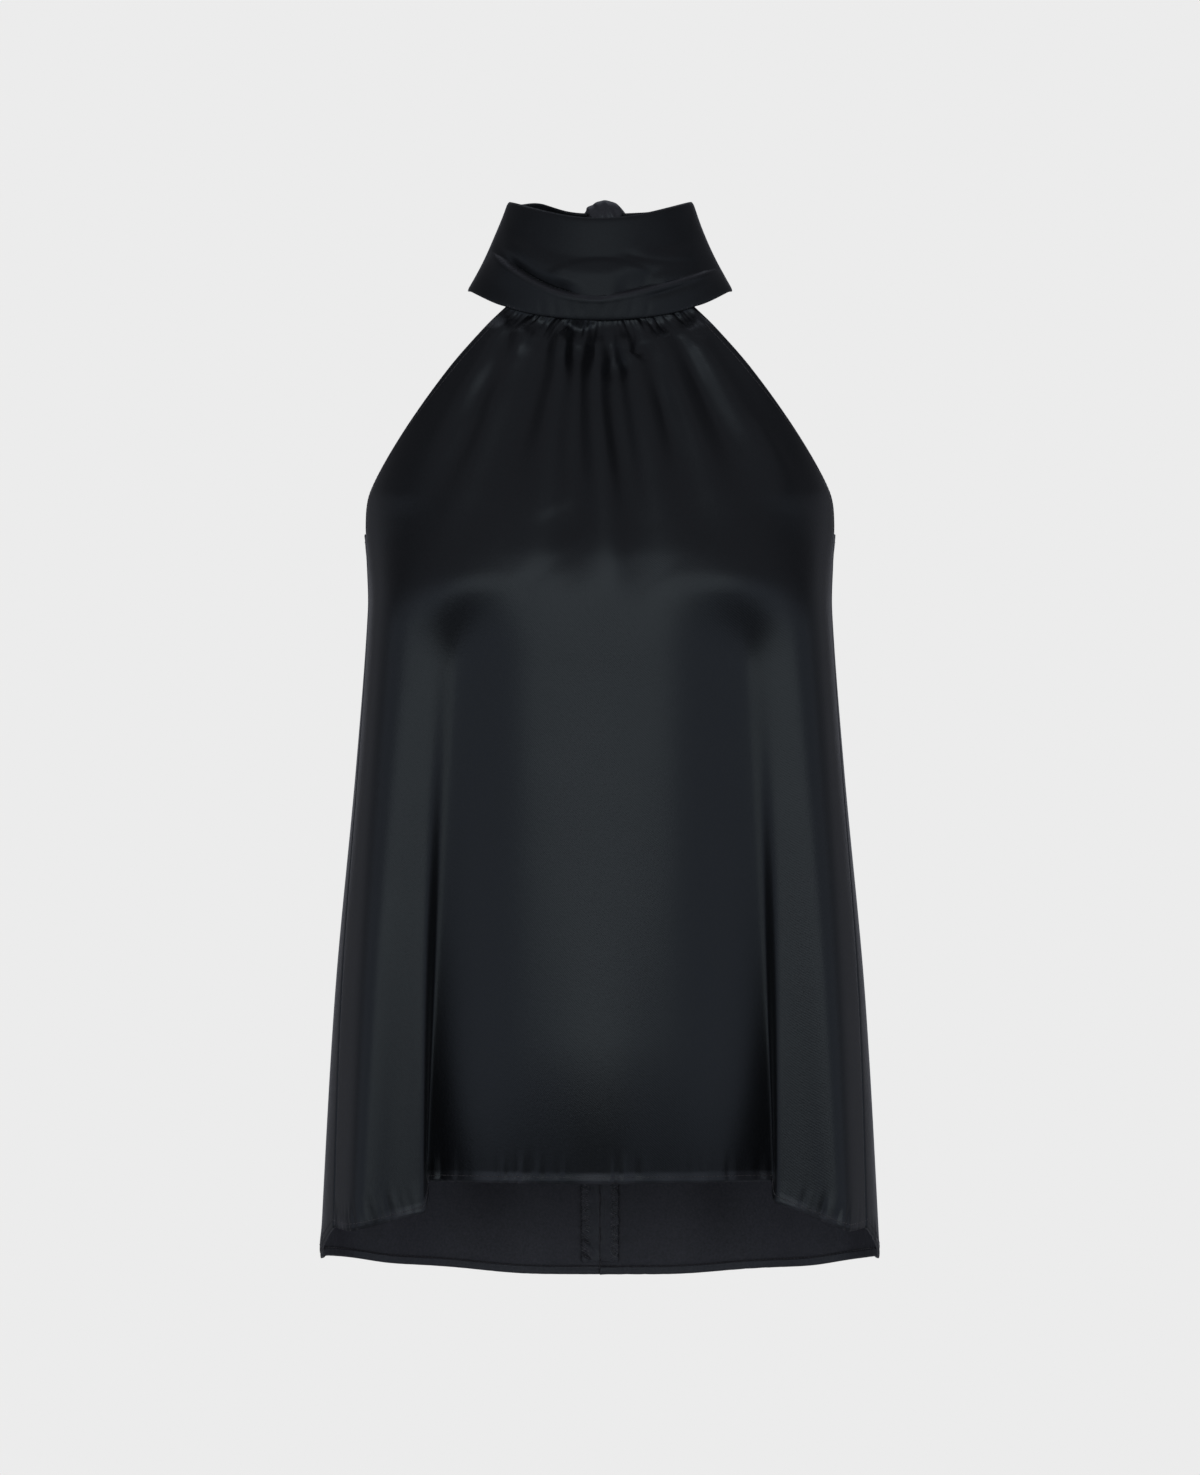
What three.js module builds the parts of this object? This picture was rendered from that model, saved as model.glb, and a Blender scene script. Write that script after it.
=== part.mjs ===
// A satin halter blouse with a tie neck, in the hollow shape it keeps when it is worn.
// Its front is gathered into a wide band that goes round the neck and is knotted behind.
// Units are millimetres. +X is to the right as the front is seen, +Y is to the back, +Z is up.
// The origin is in the middle of the neck, level with the points where the armholes meet the band.
import * as THREE from "three";
import { mergeVertices } from "three/addons/utils/BufferGeometryUtils.js";

// ---- Driving dimensions ----

const CLOTH = 1.5; // wall of a single layer
const BAND_CLOTH = 2.4; // wall of the folded neck band
const TURNING = 1.0; // wall of a turned hem or seam allowance
const SEAM_GAP = 0.3; // between two pieces that are sewn together
const HEM_DEPTH = 6; // turned hems
const ARMHOLE_HEM = 5; // narrow turning of the armholes and of the back's top edge
const ALLOWANCE = 12.5; // width of each pressed-open allowance of the centre back seam

const DEGREE = Math.PI / 180;
const QUARTER = 90 * DEGREE;

// Level sections of the body, from the neckline down to below the hem. half is the half width, front,
// side and back are the places along Y of the centre front, the side and the centre back, and round
// is the power of the arc between them: 2 is a flat bow, 1 an ellipse, less than 1 squarer.
const SECTIONS = [
  { z: 8, half: 47, front: -54, side: -41, back: 60, round: 2.0 },
  { z: -4.5, half: 60.3, front: -58.5, side: -44.5, back: 62, round: 2.0 },
  { z: -16, half: 71.8, front: -63, side: -47, back: 65, round: 1.9 },
  { z: -45, half: 97, front: -76, side: -50, back: 70, round: 1.7 },
  { z: -85, half: 125.8, front: -96, side: -45, back: 75, round: 1.35 },
  { z: -123, half: 147.4, front: -113.5, side: -29, back: 78, round: 1.05 },
  { z: -143, half: 151.6, front: -122, side: -9, back: 80, round: 0.84 },
  { z: -168, half: 150.3, front: -131, side: -2, back: 84, round: 0.68 },
  { z: -200, half: 149.4, front: -135.5, side: 0, back: 88, round: 0.6 },
  { z: -300, half: 156.8, front: -138.5, side: 0, back: 95, round: 0.57 },
  { z: -450, half: 170.6, front: -143.5, side: 0, back: 104, round: 0.56 },
  { z: -650, half: 181.8, front: -150.5, side: 0, back: 115, round: 0.56 },
];

// The gathers of the front. Each runs from neckX at the neckline to footX at the level footZ,
// where it has half width wide. It stands deep proud of the cloth, or is a valley if deep is negative.
const GATHERS = [
  { neckX: -55, footX: -116, footZ: -118, wide: 14, deep: 2.8 },
  { neckX: -49, footX: -99, footZ: -122, wide: 11, deep: -2.6 },
  { neckX: -42, footX: -91, footZ: -138, wide: 12, deep: 2.6 },
  { neckX: -35, footX: -74, footZ: -132, wide: 12, deep: -3.2 },
  { neckX: -27, footX: -58, footZ: -120, wide: 10, deep: -3.2 },
  { neckX: -20, footX: -38, footZ: -150, wide: 12, deep: 3.2 },
  { neckX: -13, footX: -19, footZ: -172, wide: 12, deep: -5.0 },
  { neckX: -4, footX: 5, footZ: -170, wide: 10, deep: 3.8 },
  { neckX: 4, footX: 25, footZ: -176, wide: 12, deep: -5.0 },
  { neckX: 14, footX: 36, footZ: -140, wide: 12, deep: 3.2 },
  { neckX: 23, footX: 58, footZ: -136, wide: 12, deep: -3.6 },
  { neckX: 32, footX: 72, footZ: -130, wide: 11, deep: 2.8 },
  { neckX: 41, footX: 93, footZ: -126, wide: 12, deep: -3.2 },
  { neckX: 50, footX: 128, footZ: -146, wide: 13, deep: 2.8 },
];
// A gather is narrow at the neckline, is full a little below it, and dies away round its foot. The last
// three values are shares of its way down.
const GATHER_RUN = { halfAtNeck: 3.2, bend: 0.9, fullAt: 0.16, fadesFrom: 0.55, goneAt: 1.3 };
// Small waves along the neckline seam, between the gathers. They start below the seam and die out.
const PUCKERS = { count: 17, deep: 0.75, fullAt: 5, fade: 13, within: 0.8 };

// The flutes that fall from the bust to the hem, ridges with deep above 0 and valleys below it. inner is
// the half width on the side of the centre, outer the one away from it. soon is the share of its depth that
// a flute has right below its top, and lean is how far it leans along X for each millimetre of its depth.
const FLUTES = [
  { topX: -78, topZ: -176, hemX: -98, inner: [24, 26], outer: [20, 7], deep: -27, soon: 0.34, lean: 0.5 },
  { topX: -132, topZ: -150, hemX: -154, inner: [24, 20], outer: [16, 15], deep: 25, soon: 0.58, lean: 0 },
  { topX: 80, topZ: -176, hemX: 98, inner: [28, 26], outer: [22, 7], deep: -27, soon: 0.34, lean: -0.5 },
  { topX: 132, topZ: -150, hemX: 155, inner: [24, 20], outer: [16, 15], deep: 25, soon: 0.58, lean: 0 },
  { topX: -10, topZ: -240, hemX: 0, inner: [44, 40], outer: [44, 40], deep: 15, soon: 0, lean: 0 },
];
const FLUTE_RUN = { hemZ: -600, spread: 0.7, soonBy: 0.14, bend: 1.15 };
const FOLDS_FADE = { from: 72, to: 90 }; // where the front's folds die out, in degrees from the centre front
// Small swells of the bust, where the flutes start.
const SWELLS = [
  { x: -97, z: -187, wide: 30, tall: 22, deep: 4.5 },
  { x: 94, z: -186, wide: 30, tall: 22, deep: 4.5 },
];
// How far the front's hem swings in between the flutes, from how high, and how wide.
const HEM_CURL = { deep: 12, above: 90, half: 100, from: 1.25, to: 0.75 };
// The softer flutes of the back, placed by their angle from the centre front.
const BACK_FLUTES = [
  { angle: 112, wide: 12, deep: 7 },
  { angle: 128, wide: 9, deep: -8 },
  { angle: 146, wide: 11, deep: 8 },
  { angle: 163, wide: 9, deep: -6 },
];
const BACK_FLUTE_TOP_Z = -190;

// Neckline, armholes, side seams and hems.
const NECK = { half: 60.5, endZ: -4.2, frontZ: -14.6, bow: 0.8 }; // the gathered neckline
const UNDERARM_Z = -150;
const ARMHOLE_BEND_Z = -112; // below here the armhole's edge turns forward to the side seam
const SIDE_SEAM = { underarm: 83, hem: 70 }; // angle of the side seam from the centre front, in degrees
const BACK_TOP_DROP = 17; // how far the back's top edge falls from the side seam to the centre back
const FRONT_HEM = { centre: -558.3, sag: 3.4, seam: -590.5 };
// Where the front hem drops, in the valleys of the flutes, and the levels it drops to.
const HEM_STEPS = { left: { x: -107, z: -578 }, right: { x: 106, z: -570.5 } };
const HEM_STEP_RUN = 8;
const HEM_FALL = 2.1; // how fast the hem falls from there to the side seam
const BACK_HEM = { seam: -590.5, side: -619.4, centre: -641.7, fallLeft: 0.7, fallRight: 0.9 };

// Neck band: its lower and upper edges, as half width, front and back places and levels.
const BAND = {
  low: { half: 85.3, front: -62.5, back: 56, cornerZ: 9.1, knotZ: 31, round: 1.0 },
  high: { half: 59.3, front: -51, back: 52, cornerZ: 66.3, knotZ: 64, round: 1.15 },
  pinch: 2.2, // how much narrower it is half way up
  topDip: 15, // how far the upper edge sags at the centre front
  dipBend: 0.9,
  freeBend: 1.3, // how late its lower edge rises outside the gathered neckline
  rise: { from: 90, to: 172 }, // where both edges rise to the knot, in degrees from the centre front
  backRise: { by: 4.6, at: 138, half: 17 }, // its upper edge stands up beside the knot, on the left
};
// The fold across the band: it stands forward and ends in a lip, which rises to both sides from the centre.
const LIP = { z: -0.6, stand: 2.2, drop: 4, full: 14, top: 27, fadeFrom: 52, fadeTo: 78 };
const LIP_RISE = { left: { rise: 27, power: 2.2 }, right: { rise: 17.2, power: 1.4 }, atX: 63 };

// Knot and hanging ends.
const KNOT = { x: 3.3, y: 59, z: 48.5, wide: 17.4, deep: 12.5, tall: 25.6 };
// A narrow waist, three folds that wind round it, and how square it is across and how flat at its ends.
const KNOT_SHAPE = {
  waist: 0.1,
  waistTall: 0.35,
  folds: 3,
  foldDeep: 0.055,
  twist: 2.2,
  square: 0.45,
  flat: 0.2,
};
const KNOT_MEETS = 0.93; // the share of the knot's half width at which the band ends
const BAND_CLEAR = 1.65; // between the knot and the band's ends
const TAILS = [
  { name: "tie_end_left", topX: -6, footX: -43, length: 296, slant: -16 },
  { name: "tie_end_right", topX: 11, footX: 44, length: 272, slant: 14 },
];
// A tie end widens to half over spreadBy, drifts to its foot, hangs clear of the knot and then of the back,
// and has folds that are deepest near the knot.
const TAIL = { topHalf: 6.5, half: 27, spreadBy: 150, drift: 0.6, start: 1, swing: 0.03, clear: 4.2 };
const TAIL_FOLDS = { deep: 4.5, flatter: 0.35, turns: 1.5, grownBy: 30, lift: 0.6 };
const TAIL_LANDS = { below: 155.1, backTopZ: -140 }; // where a tie end comes to lie on the back

// ---- Small helpers ----

const mix = (a, b, t) => a + (b - a) * t;
const unit = (t) => Math.min(1, Math.max(0, t));
const ease = (a, b, v) => {
  const t = unit((v - a) / (b - a));
  return t * t * (3 - 2 * t);
};
const bump = (u) => Math.exp(-u * u);
const power = (base, exponent) => Math.pow(Math.max(base, 0), exponent);

/** The value of one column of SECTIONS at level z, on a smooth curve through the rows. */
function section(column, z) {
  const last = SECTIONS.length - 1;
  let i = 0;
  while (i < last - 1 && SECTIONS[i + 1].z > z) i++;
  const slope = (k) => {
    const a = SECTIONS[Math.max(k - 1, 0)];
    const b = SECTIONS[Math.min(k + 1, last)];
    return (b[column] - a[column]) / (b.z - a.z);
  };
  const [a, b] = [SECTIONS[i], SECTIONS[i + 1]];
  const run = b.z - a.z;
  const t = unit((z - a.z) / run);
  const [t2, t3] = [t * t, t * t * t];
  return (
    a[column] * (2 * t3 - 3 * t2 + 1) +
    slope(i) * run * (t3 - 2 * t2 + t) +
    b[column] * (3 * t2 - 2 * t3) +
    slope(i + 1) * run * (t3 - t2)
  );
}

// ---- The cloth's middle surface ----

/** Level of the neckline seam at x, level beyond its ends. */
const neckZ = (x) => mix(NECK.endZ, NECK.frontZ, power(1 - (x / NECK.half) ** 2, NECK.bow));

/** How far the flutes stand forward at (x, z), and how far they lean along X there. */
function flutes(x, z) {
  const sum = { forward: 0, along: 0 };
  for (const f of FLUTES) {
    const t = (f.topZ - z) / (f.topZ - FLUTE_RUN.hemZ);
    if (t <= 0) continue;
    const down = unit(t);
    const middle = mix(f.topX, f.hemX, down ** FLUTE_RUN.spread);
    const half = mix(...(x < middle === f.hemX < 0 ? f.outer : f.inner), down);
    const depth = f.soon * ease(0, FLUTE_RUN.soonBy, t) + (1 - f.soon) * down ** FLUTE_RUN.bend;
    const part = f.deep * depth * bump((x - middle) / half);
    sum.forward += part;
    sum.along += f.lean * part;
  }
  return sum;
}

/** How far the front stands forward at (x, z) through its gathers, puckers, flutes, swells and hem. */
function frontFolds(x, z) {
  const below = Math.max(neckZ(x) - z, 0);
  let sum = flutes(x, z).forward;
  for (const g of GATHERS) {
    const top = neckZ(g.neckX);
    const t = (top - z) / (top - g.footZ);
    const middle = mix(g.neckX, g.footX, unit(t) ** GATHER_RUN.bend + Math.max(t - 1, 0));
    const half = mix(GATHER_RUN.halfAtNeck, g.wide, Math.sqrt(unit(t)));
    const fade = ease(0, GATHER_RUN.fullAt, t) * (1 - ease(GATHER_RUN.fadesFrom, GATHER_RUN.goneAt, t));
    sum += g.deep * fade * bump((x - middle) / half);
  }
  const wave = Math.cos((Math.PI * PUCKERS.count * (x + NECK.half)) / NECK.half);
  const within = ease(1, PUCKERS.within, Math.abs(x) / NECK.half);
  sum += PUCKERS.deep * wave * within * ease(0, PUCKERS.fullAt, below) * Math.exp(-below / PUCKERS.fade);
  for (const s of SWELLS) sum += s.deep * bump((x - s.x) / s.wide) * bump((z - s.z) / s.tall);
  const nearHem = unit(1 - (z - FRONT_HEM.centre) / HEM_CURL.above);
  return sum - HEM_CURL.deep * nearHem ** 2 * ease(HEM_CURL.from, HEM_CURL.to, Math.abs(x) / HEM_CURL.half);
}

/** How far the back stands out at an angle from the centre front, in degrees, at level z. */
function backFolds(degrees, z) {
  const t = unit((BACK_FLUTE_TOP_Z - z) / (BACK_FLUTE_TOP_Z - FLUTE_RUN.hemZ));
  return BACK_FLUTES.reduce((sum, f) => sum + f.deep * t * bump((degrees - f.angle) / f.wide), 0);
}

const foldsFade = (degrees) => ease(FOLDS_FADE.to, FOLDS_FADE.from, Math.abs(degrees));

/** A point of the body cloth: angle is 0 at the centre front, 90 at the side, 180 at the centre back. */
function bodyPoint(degrees, z) {
  const angle = Math.abs(degrees) * DEGREE;
  const [half, side, round] = [section("half", z), section("side", z), section("round", z)];
  const x = Math.sign(degrees) * half * Math.sin(angle);
  const reach = power(Math.abs(Math.cos(angle)), round);
  if (angle <= QUARTER) {
    const y = side + (section("front", z) - side) * reach - frontFolds(x, z) * foldsFade(degrees);
    return new THREE.Vector3(x, y, z);
  }
  const y = side + (section("back", z) - side) * reach + backFolds(Math.abs(degrees), z) * reach;
  return new THREE.Vector3(x, y, z);
}

/** The angle where the front panel ends at level z: at the armhole or, below the underarm, the side seam. */
function frontEdge(z) {
  if (z > UNDERARM_Z) return mix(90, SIDE_SEAM.underarm, ease(ARMHOLE_BEND_Z, UNDERARM_Z, z));
  return mix(SIDE_SEAM.underarm, SIDE_SEAM.hem, unit((UNDERARM_Z - z) / (UNDERARM_Z - BACK_HEM.seam)));
}

/** Level of the front hem at x. */
function frontHemZ(x) {
  const step = x < 0 ? HEM_STEPS.left : HEM_STEPS.right;
  const across = x / step.x;
  const run = HEM_STEP_RUN / Math.abs(step.x) / 2;
  const outer = mix(step.z, FRONT_HEM.seam, unit((across - 1) * HEM_FALL));
  return mix(FRONT_HEM.centre - FRONT_HEM.sag * across ** 2, outer, ease(1 - run, 1 + run, across));
}

/** Level of the back hem at an angle on one side. */
function backHemZ(side, degrees) {
  const toSide = unit((degrees - SIDE_SEAM.hem) / (90 - SIDE_SEAM.hem));
  const fall = side < 0 ? BACK_HEM.fallLeft : BACK_HEM.fallRight;
  const toCentre = Math.max(-Math.cos(degrees * DEGREE), 0);
  return mix(mix(BACK_HEM.seam, BACK_HEM.side, toSide), BACK_HEM.centre, mix(toCentre ** 3, toCentre, fall));
}

/** Level of the back's top edge at an angle. */
const backTopZ = (degrees) => UNDERARM_Z - BACK_TOP_DROP * ease(SIDE_SEAM.underarm, 180, degrees);

/** The neck band's middle surface by degrees from the centre front and by 0 to 1 from its lower edge up. */
function bandPoint(degrees, up) {
  const angle = Math.abs(degrees) * DEGREE;
  const { low, high } = BAND;
  const half = mix(low.half, high.half, up) - BAND.pinch * Math.sin(up * Math.PI);
  const round = mix(low.round, high.round, up);
  const x = Math.sign(degrees) * half * Math.sin(angle);
  const reach = power(Math.abs(Math.cos(angle)), round);
  const front = mix(low.front, high.front, up);
  const back = mix(low.back, high.back, up);
  const behind = angle > QUARTER;
  let y = (behind ? back : front) * reach;
  const lowX = low.half * Math.sin(angle);
  const free = unit((lowX - NECK.half) / (low.half - NECK.half));
  let lowZ = neckZ(lowX) + (low.cornerZ - NECK.endZ) * free ** BAND.freeBend;
  const sag = power(Math.cos(unit(Math.abs(x) / high.half) * QUARTER), BAND.dipBend);
  let highZ = high.cornerZ - BAND.topDip * sag;
  if (behind) {
    const t = ease(BAND.rise.from, BAND.rise.to, Math.abs(degrees));
    lowZ = mix(low.cornerZ, low.knotZ, t);
    const { by, at, half: halfTurn } = BAND.backRise;
    highZ = mix(high.cornerZ, high.knotZ, t) + (degrees < 0 ? by * bump((-degrees - at) / halfTurn) : 0);
  }
  const z = mix(lowZ, highZ, up);
  if (!behind) {
    const { rise, power: bend } = x < 0 ? LIP_RISE.left : LIP_RISE.right;
    const above = z - LIP.z - rise * Math.abs(x / LIP_RISE.atX) ** bend;
    const stand = LIP.stand * ease(-LIP.drop, LIP.drop, above) * ease(LIP.top, LIP.full, above);
    y -= stand * ease(LIP.fadeTo, LIP.fadeFrom, Math.abs(degrees));
  }
  return new THREE.Vector3(x, y, z);
}

/** The angle at which the neck band meets the knot, on one side and at one height of the band. */
function bandEnd(side, up) {
  const level = (mix(BAND.low.knotZ, BAND.high.knotZ, up) - KNOT.z) / KNOT.tall;
  const knotHalf = KNOT_MEETS * KNOT.wide * Math.sqrt(1 - level ** 2) + BAND_CLEAR;
  const half = mix(BAND.low.half, BAND.high.half, up) - BAND.pinch * Math.sin(up * Math.PI);
  return 180 - Math.asin((knotHalf + side * KNOT.x) / half) / DEGREE;
}

/** The middle surface of a hanging tie end: across from -1 to 1, down from 0 to 1. */
function tailPoint(tail, across, down) {
  const topZ = KNOT.z - KNOT.tall - SEAM_GAP;
  const z = topZ - down * (tail.length + tail.slant * across);
  const fallen = topZ - z;
  const spread = ease(0, TAIL.spreadBy, fallen);
  const half = mix(TAIL.topHalf, TAIL.half, spread);
  const x = mix(tail.topX, tail.footX, power(down, TAIL.drift)) + across * half;
  const angle = 180 - Math.asin(Math.min(Math.abs(x) / section("half", z), 1)) / DEGREE;
  const onBack = bodyPoint(Math.sign(x || 1) * angle, Math.min(z, TAIL_LANDS.backTopZ)).y + TAIL.clear;
  const free = KNOT.y + TAIL.start + TAIL.swing * fallen;
  const fold = Math.cos(across * Math.PI * TAIL_FOLDS.turns) * ease(0, TAIL_FOLDS.grownBy, fallen);
  const lift = TAIL_FOLDS.lift * TAIL_FOLDS.deep * mix(1, TAIL_FOLDS.flatter, spread) * Math.abs(fold);
  const y = mix(free, onBack, ease(0, TAIL_LANDS.below, fallen)) + lift;
  return new THREE.Vector3(x, y, z);
}

// ---- Walls ----

/** The outward unit normal of a surface, by small steps along both parameters. */
function normal(surface, u, v, stepU, stepV) {
  const alongU = surface(u + stepU, v).sub(surface(u - stepU, v));
  const alongV = surface(u, v + stepV).sub(surface(u, v - stepV));
  return alongU.cross(alongV).normalize();
}

/** Keeps a parameter that far inside its range. */
const inside = (low, high, step, v) => Math.max(low + step, Math.min(high - step, v));

/** A closed wall over a grid of points with normals, from the offset low to the offset high along them. */
function wall(rows, low, high) {
  const points = rows.flat();
  const count = points.length;
  const width = rows[0].length;
  const last = (rows.length - 1) * width;
  const index = [];
  for (let r = 0; r < last; r += width) {
    for (let i = r; i < r + width - 1; i++) {
      const [a, b, c, d] = [i, i + 1, i + width + 1, i + width];
      index.push(a, d, b, b, d, c);
      index.push(a + count, b + count, d + count, b + count, c + count, d + count);
    }
  }
  const rim = [
    ...rows[0].map((_, i) => i),
    ...rows.slice(1).map((_, r) => (r + 2) * width - 1),
    ...rows[0].slice(1).map((_, i) => last + width - 2 - i),
    ...rows.slice(1, -1).map((_, r) => last - (r + 1) * width),
  ];
  rim.forEach((a, k) => {
    const b = rim[(k + 1) % rim.length];
    index.push(a, b, b + count, a, b + count, a + count);
  });
  const skin = (offset) => points.flatMap(({ p, n }) => p.clone().addScaledVector(n, offset).toArray());
  return facingOut([...skin(high), ...skin(low)], index);
}

/** A geometry from positions and triangles, turned so that its faces point out. */
function facingOut(positions, index) {
  const at = (i) => new THREE.Vector3().fromArray(positions, 3 * i);
  let volume = 0;
  for (let i = 0; i < index.length; i += 3) {
    volume += at(index[i]).dot(at(index[i + 1]).cross(at(index[i + 2])));
  }
  if (volume < 0) index.reverse();
  const geometry = new THREE.BufferGeometry();
  geometry.setAttribute("position", new THREE.Float32BufferAttribute(positions, 3));
  geometry.setIndex(index);
  geometry.computeVertexNormals();
  return geometry;
}

const steps = (count) => Array.from({ length: count + 1 }, (_, i) => i / count);

// ---- Front panel ----

// The gathered edge goes up inside the band by up, lies back behind the band's middle and leans in.
const TUCK = { up: 2.6, back: (BAND_CLOTH + CLOTH) / 2 + SEAM_GAP, backAtEnds: 0.9, lean: 0.4, fade: 16 };
const FRONT_TOP_Z = NECK.endZ + TUCK.up; // level of the panel's top corners
const FRONT_LENGTH = FRONT_TOP_Z - FRONT_HEM.seam; // from there to the hem at the side seam
const HEM_HALF = section("half", FRONT_HEM.seam) * Math.sin(SIDE_SEAM.hem * DEGREE);

const SIDE_ROWS = [0.04, 0.09, 0.16, 0.26, 0.38, 0.51, 0.64, 0.77, 0.89]; // from underarm to hem
const FRONT_COLUMNS = 84;
const UNDERARM_ROW = (FRONT_TOP_Z - UNDERARM_Z) / FRONT_LENGTH;
const NECK_ROWS = [0, 0.0043, 0.01, 0.018, 0.028, 0.042, 0.062, 0.09, 0.125, 0.165, 0.2, 0.23];
const ARMHOLE_ROW = 0.02; // below here an armhole is free of the band
const HEM_ROW = 1 - HEM_DEPTH / FRONT_LENGTH;
const FRONT_ROWS = [...NECK_ROWS, UNDERARM_ROW, ...SIDE_ROWS.map((t) => mix(UNDERARM_ROW, 1, t)), HEM_ROW, 1];
const SEAM_TRIM = 1.5 * SEAM_GAP; // the front's side of a side seam

/** Where the panel's point lies that is across (-1 to 1) and down (0 to 1) it. */
function frontPlace(across, down) {
  const edgeZ = FRONT_TOP_Z - FRONT_LENGTH * down;
  const half = section("half", edgeZ);
  const sewn = down >= UNDERARM_ROW - 1e-6;
  const edge = frontEdge(edgeZ) - (sewn ? SEAM_TRIM / half / DEGREE : 0);
  const edgeX = half * Math.sin(edge * DEGREE);
  const flat = unit(section("round", edgeZ) - 1);
  const x = mix(half * Math.sin(across * edge * DEGREE), edgeX * across, flat);
  const neckX = (x * NECK.half) / edgeX;
  const hemX = (x * HEM_HALF) / edgeX;
  const z = edgeZ + mix(neckZ(neckX) - NECK.endZ, frontHemZ(hemX) - FRONT_HEM.seam, down);
  return { x, z, degrees: Math.asin(Math.max(-1, Math.min(1, x / section("half", z)))) / DEGREE };
}

/** The front's middle surface by its own across and down, drawn in behind the band at the neckline. */
function frontSurface(across, down) {
  const { x, z, degrees } = frontPlace(across, down);
  const p = bodyPoint(degrees, z);
  const fromCentre = Math.min(Math.abs(x), NECK.half) / BAND.low.half;
  const bandY = BAND.low.front * power(1 - fromCentre ** 2, BAND.low.round / 2);
  const below = neckZ(x) - z;
  const behind = TUCK.back * (1 + TUCK.backAtEnds * fromCentre ** 2) - TUCK.lean * Math.min(below, 0);
  p.x = x + flutes(x, z).along * foldsFade(degrees);
  p.y = mix(p.y, bandY + behind, 1 - ease(0, TUCK.fade, below));
  return p;
}

function frontPoint(across, down) {
  const step = 0.0015;
  const n = normal(frontSurface, inside(-1, 1, step, across), inside(0, 1, step, down), step, -step);
  return { p: frontSurface(across, down), n };
}

const frontColumns = steps(FRONT_COLUMNS).map((t) => 2 * t - 1);
const frontRows = (downs, columns) => downs.map((down) => columns.map((across) => frontPoint(across, down)));
const frontPanel = () => wall(frontRows(FRONT_ROWS, frontColumns), -CLOTH / 2, CLOTH / 2);

const INSIDE = -(CLOTH / 2 + SEAM_GAP); // outer face of what is turned to the inside of a panel

const HEM_EASE = 0.15; // more room for the front's hem, which goes round the sharp valleys

/** The turned hem on the inside of the front. */
const frontHem = () =>
  wall(frontRows([HEM_ROW, 1], frontColumns), INSIDE - HEM_EASE - TURNING, INSIDE - HEM_EASE);

/** The narrow turning along one armhole of the front, on its inside, over the panel's last two columns. */
function armholeHem(side) {
  const downs = FRONT_ROWS.filter((down) => down > ARMHOLE_ROW && down < UNDERARM_ROW);
  const columns = side < 0 ? frontColumns.slice(0, 3) : frontColumns.slice(-3);
  return wall(frontRows(downs, columns), INSIDE - SEAM_GAP - TURNING, INSIDE - SEAM_GAP);
}

// ---- Back panels ----

const BACK_LENGTH = 470; // from the top edge to the hem
const BACK_HALF = 250; // along the cloth from the side seam to the centre back
const BACK_TRIM = 0.75 * SEAM_GAP; // each back panel's side of its seams
const ALLOWANCE_CLEAR = 0.8; // between an allowance and the turnings at its ends
const ALLOWANCE_TOP_ROW = (ARMHOLE_HEM + ALLOWANCE_CLEAR) / BACK_LENGTH;
const ALLOWANCE_HEM_ROW = 1 - (HEM_DEPTH + ALLOWANCE_CLEAR) / BACK_LENGTH;
const BACK_TOP_ROW = ARMHOLE_HEM / BACK_LENGTH;
const BACK_HEM_ROW = 1 - HEM_DEPTH / BACK_LENGTH;
const BACK_BODY_ROWS = [ALLOWANCE_TOP_ROW, ...SIDE_ROWS, ALLOWANCE_HEM_ROW];
const BACK_ROWS = [0, BACK_TOP_ROW, ...BACK_BODY_ROWS, BACK_HEM_ROW, 1];
const BACK_COLUMNS = [...steps(22).map((t) => t * (1 - ALLOWANCE / BACK_HALF)), 1];

/** The back's middle surface by across (0 at the side seam, 1 at the centre back) and down, for one side. */
function backSurface(side, across, down) {
  const edgeZ = mix(UNDERARM_Z, BACK_HEM.seam, down);
  const trim = BACK_TRIM / section("half", edgeZ) / DEGREE;
  const degrees = mix(frontEdge(edgeZ) + trim, 180 - trim, across);
  const topZ = backTopZ(mix(SIDE_SEAM.underarm, 180, across));
  const hemZ = backHemZ(side, mix(SIDE_SEAM.hem, 180, across));
  return bodyPoint(side * degrees, mix(topZ, hemZ, down));
}

function backPoint(side, across, down) {
  const step = 0.004;
  const surface = (u, v) => backSurface(side, u, v);
  const n = normal(surface, inside(0, 1, step, across), inside(0, 1, step, down), step, -step * side);
  return { p: surface(across, down), n };
}

const backRows = (side, downs, columns) =>
  downs.map((down) => columns.map((across) => backPoint(side, across, down)));
const backPanel = (side) => wall(backRows(side, BACK_ROWS, BACK_COLUMNS), -CLOTH / 2, CLOTH / 2);
const backHem = (side) => wall(backRows(side, [BACK_HEM_ROW, 1], BACK_COLUMNS), INSIDE - TURNING, INSIDE);
const backTopHem = (side) => wall(backRows(side, [0, BACK_TOP_ROW], BACK_COLUMNS), INSIDE - TURNING, INSIDE);

/** The pressed-open allowance beside the centre back seam, between the two turnings. */
const seamAllowance = (side) =>
  wall(backRows(side, BACK_BODY_ROWS, BACK_COLUMNS.slice(-2)), INSIDE - TURNING, INSIDE);

// ---- Neck band, knot and tie ends ----

const BAND_COLUMNS = 64;
const BAND_ROWS = [0, 0.13, 0.22, 0.3, 0.38, 0.48, 0.62, 0.8, 1];

function neckBand() {
  const step = { degrees: 0.4, up: 0.004 };
  const point = (across, up) => {
    const degrees = across * bandEnd(Math.sign(across), up);
    const n = normal(bandPoint, degrees, inside(0, 1, step.up, up), step.degrees, step.up);
    return { p: bandPoint(degrees, up), n };
  };
  const columns = steps(BAND_COLUMNS).map((t) => 2 * t - 1);
  const rows = [...BAND_ROWS].reverse().map((up) => columns.map((across) => point(across, up)));
  return wall(rows, -BAND_CLOTH / 2, BAND_CLOTH / 2);
}

const KNOT_GRID = { around: 28, up: 18 };

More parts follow.
